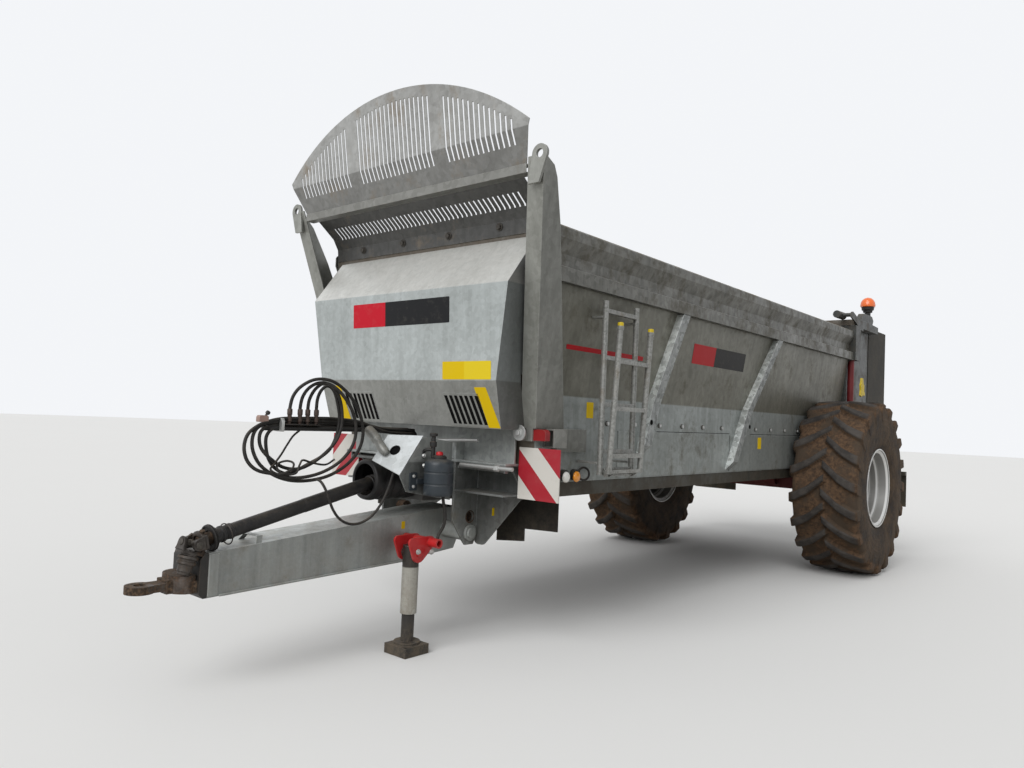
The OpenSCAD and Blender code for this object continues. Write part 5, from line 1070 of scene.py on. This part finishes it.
def makeShaft(s):
    # every part is turned about the shaft's own axis, which dips towards the front and swings to the left
    dip, swing = math.radians(s["dip"]), math.radians(s["swing"])
    along = np.array([math.sin(swing) * math.cos(dip), -math.cos(swing) * math.cos(dip), -math.sin(dip)])
    side = unit(np.cross(along, [0, 0, 1]))
    start = np.array(s["start"])
    joint = start + along * s["joint"]
    down = unit(np.array(s["yokeEnd"]) - joint)
    guard = buildPiece("shaftGuard", *turnProfile(s["guard"], start, along, 40), finish["guard"], "pto_shaft",
        "guard_black")
    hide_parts("drive_shaft")
    buildPiece("guardRing", *turnProfile(s["ring"], start, along, 48, closed=True), finish["guard"], "pto_shaft",
        "guard_black")
    wire = turnProfile(circle(s["wireRadius"], 10, s["wire"]), start - [0, 0, s["wireDrop"]], along, 40, closed=True)
    buildPiece("guardWire", *wire, finish["dark"], "pto_shaft", "rusty_steel")
    over = -np.cross(along, side)
    pin = repeatedShape(turnProfile(s["pin"], zero, zWay, 12), [start + along * 1.142 + over * 0.030 - side * 0.012],
        over - side * 0.4)
    sleeve = turnProfile(s["sleeve"], start, along, 28)
    buildPiece("shaftSleeve", *joinShapes([sleeve, pin]), finish["rusty"], "pto_shaft", "rusty_steel")
    hinge = unit(np.cross(down, side))
    collar = turnProfile(s["collar"], start, along, 32, closed=True)
    arms = forkArms(joint, along, side, **s["fork"])
    buildPiece("frontFork", *joinShapes([collar, arms]), finish["dark"], "pto_shaft", "rusty_steel")
    pegs = [turnProfile(s["peg"], joint, way, 16) for way in (side, hinge)]
    core = turnProfile(s["core"], joint, hinge, 16)
    buildPiece("jointCross", *joinShapes(pegs + [core]), finish["darkBolt"], "pto_yoke", "rusty_steel")
    lower = forkArms(joint, -down, hinge, **s["fork"])
    yoke = buildPiece("lowerYoke", *joinShapes([lower, turnProfile(s["hub"], joint, down, 32)]), finish["dark"],
        "pto_yoke", "rusty_steel")
    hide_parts("shaft_yoke")


makeShaft(shaftShape)
print("drive shaft made")

guardShape = {
    # the bellows from the gearbox to the open front: y of both ends, radius at both ends, height of a fold
    "folds": 5,
    "back": -2.510, "front": -2.832,
    "outer": (0.110, 0.111), "fold": 0.006, "sheet": 0.004,
    "mouth": 0.088,
    "height": 0.922,
}


def makeGuardCone(s):
    # radius = straight run from outer[0] to outer[1] + fold * |sin|, then back along the inside
    t = np.linspace(0, 1, 61)
    radius = s["outer"][0] + (s["outer"][1] - s["outer"][0]) * t + s["fold"] * np.abs(np.sin(np.pi * s["folds"] * t))
    length = s["back"] - s["front"]
    outer = np.stack([t * length, radius], 1)
    inner = (outer - [0, s["sheet"]])[::-1]
    lip = np.array([[length + 0.006, radius[-1] - 0.010], [length + 0.006, s["mouth"] + 0.004], [length, s["mouth"]],
        [length - 0.004, s["mouth"] + 0.004], [length - 0.006, radius[-1] - 0.012]])
    section = np.vstack([outer, lip, inner[1:]])
    cone = turnProfile(section, (0, s["back"], s["height"]), (0, -1, 0), 56, closed=True)
    piece = buildPiece("guardBellows", *cone, finish["guard"], slot="guard_black", sharp=60)
    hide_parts("guard_cone")


makeGuardCone(guardShape)

slantShape = {
    "corners": [(0.10, -2.764, 1.176), (0.10, -2.868, 1.034), (0.31, -2.850, 0.968), (0.31, -2.690, 1.179)],
    "hole": (0.192, -2.772, 1.080), "radius": 0.032,
    "thick": 0.006,
    "side": [(-2.850, 0.968), (-2.799, 0.880), (-2.463, 0.820), (-2.463, 1.150), (-2.690, 1.176)],
    "sideX": 0.3035,
    "leverRoute": [(-0.010, -2.815, 1.198), (0.040, -2.820, 1.172), (0.090, -2.828, 1.140), (0.136, -2.836, 1.108),
        (0.180, -2.834, 1.076)],
    # part of the lever's length and its radius there
    "leverRadius": [(0, 0.029), (0.46, 0.029), (0.50, 0.024), (0.62, 0.024), (0.66, 0.027), (0.92, 0.025), (1, 0.016)],
}


def plateFrame(corners, hole):
    # directions across and out of the slanted plate, and the hole's middle moved into its plane
    p = np.asarray(corners, float)
    normal = unit(np.cross(p[2] - p[0], p[3] - p[1]))
    middle = np.asarray(hole, float)
    return unit(p[2] - p[1]), normal, middle - normal * ((middle - p.mean(0)) @ normal)


def holedPlate(corners, hole, radius, thick, rays=48):
    # rays from the hole's middle meet the outline; the plate is the band between the circle and those meeting points
    p = np.asarray(corners, float)
    across, normal, middle = plateFrame(corners, hole)
    upward = np.cross(normal, across)
    q = np.stack([(p - middle) @ across, (p - middle) @ upward], 1)
    corner = np.arctan2(q[:, 1], q[:, 0])
    angle = np.sort(np.concatenate([np.linspace(-np.pi, np.pi, rays, endpoint=False), corner]))
    way = np.stack([np.cos(angle), np.sin(angle)], 1)
    edge = np.roll(q, -1, 0) - q
    # distance along each ray to each edge's line; the nearest one ahead that lies within the edge is the outline
    cross = way[:, None, 0] * edge[None, :, 1] - way[:, None, 1] * edge[None, :, 0]
    cross = np.where(np.abs(cross) < 1e-12, 1e-12, cross)
    t = (q[None, :, 0] * edge[None, :, 1] - q[None, :, 1] * edge[None, :, 0]) / cross
    u = (q[None, :, 0] * way[:, None, 1] - q[None, :, 1] * way[:, None, 0]) / cross
    good = (t > 0) & (u > -1e-6) & (u < 1 + 1e-6)
    reach = np.where(good, t, 9.0).min(1)[:, None]
    flat = [way * radius, way * reach]
    rings = [middle + f[:, :1] * across + f[:, 1:] * upward + normal * h for h in (0, thick) for f in flat]
    order = np.vstack([rings[0], rings[1], rings[3], rings[2]])
    return order, gridFaces(4, len(angle), wrapRows=True)


def makeFrontPlates(s):
    # the bright slanted plate with its hole, the side plate that it leans on, and the grey lever that ends in the hole
    plate = buildPiece("slantPlate", *holedPlate(s["corners"], s["hole"], s["radius"], s["thick"]), finish["plate"],
        sharp=30)
    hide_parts("service_bracket")
    # a thin black disc close behind the hole, because the real one looks into the dark
    normal, middle = plateFrame(s["corners"], s["hole"])[1:]
    backwards = normal if normal[1] > 0 else -normal
    disc = s["radius"] + 0.006
    dark = turnProfile([(0, 0.0005), (0, disc), (0.0015, disc), (0.0015, 0.0005)],
        middle + backwards * (s["thick"] + 0.0005), backwards, 40)
    buildPiece("slantShade", *dark, finish["shade"], slot="black_paint")
    buildPiece("slantSide", *sidePlate(s["side"], (s["sideX"], 0, 0), 0.006, 0.004), finish["hitch"])
    path = smoothRoute(s["leverRoute"], 0.012)
    part, radius = zip(*s["leverRadius"])
    buildPiece("slantLever", *tubeAlong(path, np.interp(np.linspace(0, 1, len(path)), part, radius), 20),
        finish["lever"])
    strap = sidePlate(rectangle(0.052, 0.100), (0.3096, -2.782, 0.886), 0.008, 0.006)
    link = sidePlate(rectangle(0.110, 0.030), (0.3096, -2.735, 0.920), 0.014, 0.004)
    buildPiece("reservoirStrap", *joinShapes([strap, link]), finish["reservoir"])
    bolts = repeatedShape(hexHead(0.013, 0.007, 0.019, 0.002), [(0.3176, -2.756, 0.908), (0.3176, -2.756, 0.964)], xWay)
    buildPiece("strapBolts", *bolts, finish["bolt"])


makeFrontPlates(slantShape)

reservoirShape = {
    "foot": (0.400, -2.650, 0.862),
    "body": [(0.0, 0.060), (0.002, 0.073), (0.008, 0.078), (0.020, 0.080), (0.058, 0.080), (0.061, 0.0775),
        (0.067, 0.0775), (0.070, 0.080), (0.122, 0.080), (0.125, 0.0775), (0.131, 0.0775), (0.134, 0.080),
        (0.168, 0.080), (0.184, 0.075), (0.195, 0.062), (0.200, 0.044), (0.201, 0.020)],
    "top": [(0.196, 0.030), (0.198, 0.040), (0.212, 0.040), (0.215, 0.034), (0.219, 0.030), (0.220, 0.012)],
    "knob": [(0.214, 0.008), (0.216, 0.016), (0.220, 0.0195), (0.232, 0.0195), (0.237, 0.016), (0.240, 0.006)],
    # the filler beside the cover, and its elbow and pins, all counted from the foot
    "stemPlace": (-0.040, -0.012, 0),
    "stem": [(0.170, 0.012), (0.262, 0.012), (0.264, 0.019), (0.290, 0.020), (0.292, 0.013), (0.320, 0.012),
        (0.322, 0.022), (0.336, 0.022), (0.339, 0.010)],
    "elbow": [(-0.040, -0.012, 0.245), (-0.066, -0.028, 0.246), (-0.092, -0.036, 0.232), (-0.100, -0.036, 0.190)],
    "pins": [(-0.080, -0.040, 0.212), (-0.060, -0.052, 0.160)],
}


def makeReservoir(s):
    # the tank with two pressed grooves, its black cover, the red knob, a filler stem and two bright pins
    foot = np.array(s["foot"])
    body = buildPiece("reservoirTank", *turnProfile(s["body"], foot, zWay, 56), finish["reservoir"],
        slot="reservoir_grey")
    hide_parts("reservoir")
    cover = turnProfile(s["top"], foot, zWay, 32)
    stem = turnProfile(s["stem"], foot + s["stemPlace"], zWay, 20)
    elbow = tubeAlong(smoothRoute(foot + s["elbow"], 0.008), 0.009, 12)
    buildPiece("reservoirTop", *joinShapes([cover, stem, elbow]), finish["black"])
    buildPiece("reservoirKnob", *turnProfile(s["knob"], foot, zWay, 28), finish["redKnob"], slot="signal_red")
    pins = repeatedShape(hexHead(0.015, 0.010, 0.022, 0.003), foot + s["pins"], (0.3, -0.9, 0.3))
    buildPiece("reservoirPins", *pins, finish["bolt"])


makeReservoir(reservoirShape)

frontParts = {
    # two rods in front of the cross plate, the first one tapered: route and radius
    "rods": [([(0.208, -2.470, 1.154), (0.360, -2.472, 1.162), (0.512, -2.470, 1.170)], [0.013, 0.012, 0.008]),
        ([(0.385, -2.468, 1.027), (0.560, -2.468, 1.027), (0.770, -2.468, 1.027)], 0.0115)],
    "nut": (0.645, -2.468, 1.027),
    "redBlock": [(0, 0), (0.094, 0), (0.094, 0.048), (0.080, 0.062), (0.014, 0.062), (0, 0.048)],
    "redPlace": (0.789, -2.300, 1.184),
    # strip along the drawbar's lower edge and the collar at its front, along the machine and upwards
    "barSide": 0.1248,
    "strip": [(-3.745, 0.4322), (-2.640, 0.4640), (-2.640, 0.4715), (-3.745, 0.4400)],
    "collar": [(-3.798, 0.436), (-3.752, 0.437), (-3.752, 0.628), (-3.798, 0.626)],
    # rounded cast block under the joint, on the bar's dark end
    "head": [(-0.098, -0.050), (-0.058, -0.088), (0.058, -0.088), (0.098, -0.050), (0.105, 0), (-0.105, 0)],
    "jackPins": [(0.3605, -2.738, 0.562), (0.3605, -2.639, 0.552)],
    # rusty bush in the spare hole of a hitch plate
    "bush": [(-0.075, 0.0375), (0.0005, 0.0375), (0.0005, 0.0302), (-0.075, 0.0302)],
    "bushPlace": (0.3125, -2.294, 0.714),
    # hinge plate at the foot of a front post
    "hinge": (0.741, -2.385, 1.2236), "hingeRadius": 0.043,
    # square box under the front post, against the wall
    "box": [(-2.165, 1.128), (-1.880, 1.118), (-1.880, 1.252), (-2.165, 1.252)], "boxSide": 0.7985,
    "stepCap": [(-0.014, 0.0172), (0.014, 0.0178), (0.019, 0.0155), (0.021, 0.008)],
    "stepPlaces": [(1.0545, -1.910, 1.850), (1.0545, -1.575, 1.850)],
}


def makeFrontParts(s):
    rods = [tubeAlong(route, radius, 14) for route, radius in s["rods"]]
    buildPiece("frontRods", *joinShapes(rods + [repeatedShape(hexHead(0.034, 0.030), [s["nut"]], xWay)]),
        finish["bolt"])
    red = frontPlate(s["redBlock"], s["redPlace"], 0.040, 0.006)
    buildSides({"redBlock": (red, "blockRed", "signal_red")})
    strip = sidePlate(s["strip"], (s["barSide"], 0, 0), 0.014)
    collar = sidePlate(s["collar"], (s["barSide"], 0, 0), 0.006, 0.004)
    buildPiece("drawbarEdges", *joinShapes([strip, collar, mirrored(*strip), mirrored(*collar)]), finish["drawbar"])
    cast = outlinePlate(s["head"], (0, -3.839, 0.454), xWay, yWay, 0.080, 0.020)
    buildPiece("headBlock", *cast, finish["head"], slot="rusty_steel")
    buildPiece("jackPins1", *repeatedShape(hexHead(0.020, 0.010, 0.030, 0.003), s["jackPins"], xWay), finish["bolt"])
    bush = turnProfile(s["bush"], s["bushPlace"], xWay, 40, closed=True)
    buildSides({"spareBush": (bush, "head", "rusty_steel")})
    hinge = frontPlate(circle(s["hingeRadius"], 28)[::-1], s["hinge"], 0.009)
    buildPiece("hingeEyes", *joinShapes([hinge, mirrored(*hinge)]), finish["bolt"])
    buildSides({"postBox": (sidePlate(s["box"], (s["boxSide"], 0, 0), 0.030, 0.006), "post", None)})
    caps = repeatedShape(turnProfile(s["stepCap"], zero, zWay, 20), s["stepPlaces"], zWay)
    buildPiece("stepCaps", *caps, finish["yellowCap"], "folding_step", "signal_red")


makeFrontParts(frontParts)
print("front plates made")


def hoodPoint(face, x, t):
    # a point on one of the hood's folded faces: t goes from 0 at its lower fold to 1 at its upper one
    low, high = {"lower": ((-2.543, 1.239), (-2.614, 1.493)), "front": ((-2.614, 1.493), (-2.645, 2.005))}[face]
    return np.array([x, low[0] + (high[0] - low[0]) * t, low[1] + (high[1] - low[1]) * t])


def wallPoint(y, z, off=0.0):
    # a point over the outer face of the left side wall, which is upright up to 1.44 and then flares to 2.05
    return np.array([0.800 + np.clip(z - 1.44, 0, 0.61) * 0.09 / 0.61 + off, y, z])


signs = {
    "film": 0.0012,
    # on the hood: face, x and place on the face of the lower left corner, then of the upper right one, finish, slant
    "hood": {
        "hoodSign": ("front", -0.429, 0.622, 0.409, 0.902, "signHood", 0.0),
        "hoodNotice": ("front", 0.357, 0.010, 0.719, 0.202, "signYellow", 0.0),
        "ventNoticeLeft": ("lower", 0.657, 0.02, 0.742, 0.86, "signPlain", -0.068),
        "ventNoticeRight": ("lower", -0.603, 0.02, -0.518, 0.86, "signPlain", -0.055),
    },
    # on the flared wall: both ends along the machine, both heights, finish
    "wall": {"sideSign": (-0.645, 0.225, 1.744, 1.884, "signSide"),
        "sideStripe": (-2.130, -1.300, 1.704, 1.731, "stripeRed")},
    # on the upright wall: lower rear corner and distance from the wall
    "notices": [(0.655, 1.130, 0.0032), (-1.850, 1.320, 0.0004)],
    "noticeSize": (0.070, 0.095),
}


def makeSigns(s):
    for name, (face, x0, t0, x1, t1, key, slant) in s["hood"].items():
        start = hoodPoint(face, x0, t0)
        up = hoodPoint(face, x0, t1) - start
        tall = np.linalg.norm(up)
        outline = [(0, 0), (x1 - x0, 0), (x1 - x0 + slant, tall), (slant, tall)]
        normal = unit(np.cross(xWay, up))
        buildPiece(name, *outlinePlate(outline, start + normal * 0.0002, xWay, up, s["film"], 0.006), finish[key])
    parts = {}
    up = wallPoint(0, 2.05) - wallPoint(0, 1.44)
    for name, (y0, y1, z0, z1, key) in s["wall"].items():
        tall = (z1 - z0) * np.linalg.norm(up) / up[2]
        plate = outlinePlate(rectangle(y1 - y0, tall), wallPoint(y0, z0, 0.0004), yWay, up, s["film"], 0.004)
        parts[name] = (plate, key, None)
    for k, place in enumerate(s["notices"]):
        plate = sidePlate(rectangle(*s["noticeSize"]), wallPoint(*place), s["film"], 0.004)
        parts["wallNotice%d" % (k + 1)] = (plate, "signPlain", None)
    buildSides(parts)


makeSigns(signs)
print("signs made")

ventShape = {
    # first slot's lower left corner, pitch and slant of each group on the hood's lower face
    "groups": [(0.401, 0.0385, -0.048), (-0.500, 0.0395, -0.034)],
    "slots": 7,
    "width": 0.0235,
    "low": 0.075, "high": 0.680,
    "sheet": 0.0012,
    "edge": 0.014,      # of the panel round the slots
}


def makeVents(s):
    # a thin panel over the face, with the slots' dark openings as thin shades on it
    for k, (x, pitch, slant) in enumerate(s["groups"]):
        low, high = hoodPoint("lower", x, s["low"]), hoodPoint("lower", x, s["high"])
        up = high - low
        tall = np.linalg.norm(up)
        normal = unit(np.cross(xWay, up))
        wide = (s["slots"] - 1) * pitch + s["width"] + 0.004
        edge = s["edge"]
        outline = [(-edge, -edge), (wide, -edge), (wide + slant, tall + edge), (slant - edge, tall + edge)]
        panel = outlinePlate(outline, low + normal * 0.0002, xWay, up, s["sheet"], 0.004)
        buildPiece("ventPanel%d" % (k + 1), *panel, finish["hood"], slot="galvanised_hood")
        slot = [(0, 0), (s["width"], 0), (s["width"] + slant, tall), (slant, tall)]
        first = low + normal * (0.0002 + s["sheet"])
        shades = [outlinePlate(slot, first + [pitch * i, 0, 0], xWay, up, 0.0005, 0.003) for i in range(s["slots"])]
        buildPiece("ventSlots%d" % (k + 1), *joinShapes(shades), finish["shade"], slot="black_paint")


makeVents(ventShape)
print("vents made")

boltRows = {
    "pitch": 0.318,
    "wallStart": -1.628,
    "wallCount": 14,
    "wallHeight": 1.292,
    "ribs": (-1.20, 0.35), "ribRoom": 0.10,     # no bolt as close as this to a side rib
    "washer": [(0, 0.0165), (0.003, 0.0165), (0.0036, 0.015)],
    # the lower panel's folded edge, a thin sheet over the wall with its lip turned out: distance from the wall, height
    "panel": (-1.50, 2.690),
    "lip": [(0.0, 0.958), (0.0028, 0.958), (0.0028, 1.236), (0.0050, 1.243), (0.0042, 1.249), (0.0, 1.249)],
    # shadow gaps above the fold and between two lower sheets: both ends, both heights, distance from the middle
    "gaps": [(-1.020, 0.108, 1.2492, 1.2530, 0.8006), (0.500, 2.690, 1.2492, 1.2530, 0.8006),
        (0.1060, 0.1105, 0.9600, 1.2490, 0.8030)],
}


def makeBolts(s):
    washer = turnProfile(s["washer"], zero, zWay, 18)
    head = hexHead(0.022, 0.011)
    small = (head[0] + [0, 0, s["washer"][-1][0]], head[1])
    y = s["wallStart"] + s["pitch"] * np.arange(s["wallCount"])
    for rib in s["ribs"]:
        y = y[np.abs(y - rib) > s["ribRoom"]]
    places = np.stack([np.full(len(y), 0.8005), y, np.full(len(y), s["wallHeight"])], 1)
    lip = np.array(s["lip"]) + [0.8002, 0]
    ends = np.vstack([np.insert(lip, 1, end, axis=1) for end in s["panel"]])
    panel = ends, [f[::-1] for f in gridFaces(2, len(lip)) + endFaces(len(lip), len(ends))]
    gaps = [sidePlate(rectangle(high - low, z1 - z0), (out, low, z0), 0.0008) for low, high, z0, z1, out in s["gaps"]]
    buildSides({"wallBolts": (repeatedShape(small, places, xWay), "bolt", None),
        "wallWashers": (repeatedShape(washer, places, xWay), "darkBolt", None),
        "lowerPanel": (panel, "wall", "galvanised_side"), "sheetGaps": (joinShapes(gaps), "shade", "black_paint")})


makeBolts(boltRows)

looseBolts = {
    # place and the way the head looks; all on the frame
    "headboard": {"places": [(-0.607, -2.4473, 2.357), (-0.221, -2.4477, 2.360), (0.182, -2.4473, 2.357),
        (0.582, -2.4475, 2.359)], "normal": (0, -0.995, -0.1), "across": 0.028, "finish": "darkBolt"},
    "hinge": {"places": [(0.741, -2.3938, 1.2236), (-0.741, -2.3938, 1.2236)], "normal": (0, -1, 0), "across": 0.030,
        "finish": "bolt"},
}
ribHoleShades = {"places": [(0.8552, -1.185, 1.312), (0.8552, 0.365, 1.312)], "radius": 0.017}
tags = {
    "drawbarTag": {"origin": (0.1252, -2.655, 0.648), "size": (0.026, 0.042)},
    "hitchTag": {"origin": (0.4502, -2.256, 0.732), "size": (0.030, 0.046)},
}


def makeSmallThings(bolts, holes, plates):
    for name, b in bolts.items():
        head = hexHead(b["across"], b["across"] * 0.5, b["across"] * 1.7, 0.004)
        buildPiece(name + "Bolts", *repeatedShape(head, b["places"], b["normal"]), finish[b["finish"]])
    # black discs of painted shade stand for the holes through the side ribs
    r = holes["radius"]
    disc = turnProfile([(0, r), (0.0008, r), (0.001, r * 0.9)], zero, zWay, 24)
    buildSides({"ribHoleShades": (repeatedShape(disc, holes["places"], xWay), "shade", "black_paint")})
    for name, t in plates.items():
        buildPiece(name, *sidePlate(rectangle(*t["size"]), t["origin"], 0.001, 0.003), finish["signPlain"])


makeSmallThings(looseBolts, ribHoleShades, tags)
print("bolts made")

lampShape = {
    "places": {"clear": -2.064, "amber": -1.962},
    "x": 0.824, "z": 0.980, "radius": 0.031,
    # height of the dome and part of its radius
    "dome": [(0.0, 1.0), (0.006, 1.0), (0.012, 0.90), (0.016, 0.68), (0.018, 0.36), (0.0186, 0.0258)],
    # loop of cable behind the lamps
    "cablePlace": (0.822, -1.884, 0.994), "cableWay": (0.9, -0.44, 0.05), "cableLoop": 0.036, "cableRadius": 0.0065,
}


def makeLamps(s):
    for key, y in s["places"].items():
        dome = np.array(s["dome"]) * [1, s["radius"]]
        buildSides({key + "Lamp": (turnProfile(dome, (s["x"], y, s["z"]), xWay, 32), key, None)})
    cable = circle(s["cableRadius"], 12, (0, s["cableLoop"]))
    coil = turnProfile(cable, s["cablePlace"], s["cableWay"], 36, closed=True)
    buildSides({"lampCable": (coil, "hose", "hose_rubber")})


makeLamps(lampShape)

beaconShape = {
    "centre": (0.860, 3.440, 2.600),
    # height over the plate and radius
    "foot": [(0.0, 0.030), (0.040, 0.030), (0.044, 0.046), (0.066, 0.050), (0.072, 0.062), (0.104, 0.066),
        (0.108, 0.060)],
    "dome": [(0.104, 0.070), (0.108, 0.0765), (0.116, 0.078), (0.130, 0.078), (0.158, 0.073), (0.186, 0.058),
        (0.204, 0.036), (0.212, 0.012), (0.213, 0.001)],
    # the slanted plate under it, along the machine and upwards
    "plate": [(3.040, 2.480), (3.500, 2.480), (3.560, 2.560), (3.500, 2.604), (3.215, 2.604)],
    "cap": [(2.792, 2.402), (3.505, 2.402), (3.505, 2.476), (3.040, 2.490), (2.792, 2.474)],
    # flat arm on the frame's outer side that carries the tube in front of the door
    "arm": [(2.550, 2.478), (2.700, 2.440), (2.860, 2.380), (2.960, 2.380), (2.960, 2.470), (2.800, 2.484),
        (2.600, 2.540), (2.560, 2.530)],
    "clamp": [(2.830, 1.690), (2.880, 1.676), (2.900, 1.700), (2.960, 1.690), (2.984, 1.712), (2.952, 1.742),
        (2.958, 1.800), (2.925, 1.818), (2.915, 1.872), (2.870, 1.876), (2.858, 1.822), (2.838, 1.800), (2.852, 1.745)],
    "tube": [(0.835, 2.475, 2.505), (0.835, 2.575, 2.506), (0.835, 2.675, 2.508)],
    "bar": [(0.840, 2.590, 2.506), (0.900, 2.590, 2.506), (0.952, 2.590, 2.506)],
}


def makeBeacon(s):
    # a flat ribbed dome on a dark foot, both turned about the upright, on a slanted dark plate over the rear post
    buildPiece("beaconFoot", *turnProfile(s["foot"], s["centre"], zWay, 40), finish["black"])
    lens = buildPiece("beaconDome", *turnProfile(s["dome"], s["centre"], zWay, 48), finish["beaconLens"],
        slot="lamp_amber")
    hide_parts("beacon")
    buildPiece("beaconPlate", *sidePlate(s["plate"], (0.830, 0, 0), 0.060, 0.010), finish["rear"])
    cap = [sidePlate(s["cap"], (0.790, 0, 0), 0.166, 0.010), tubeAlong(s["tube"], 0.038, 24),
        tubeAlong(s["bar"], 0.020, 20), sidePlate(s["arm"], (0.945, 0, 0), 0.014, 0.006)]
    clamp = sidePlate(s["clamp"], (0.9645, 0, 0), 0.018, 0.008)
    buildSides({"rearCap": (joinShapes(cap), "rear", None), "rearClamp": (clamp, "yellowCap", "signal_red")})


makeBeacon(beaconShape)
print("lamps made")
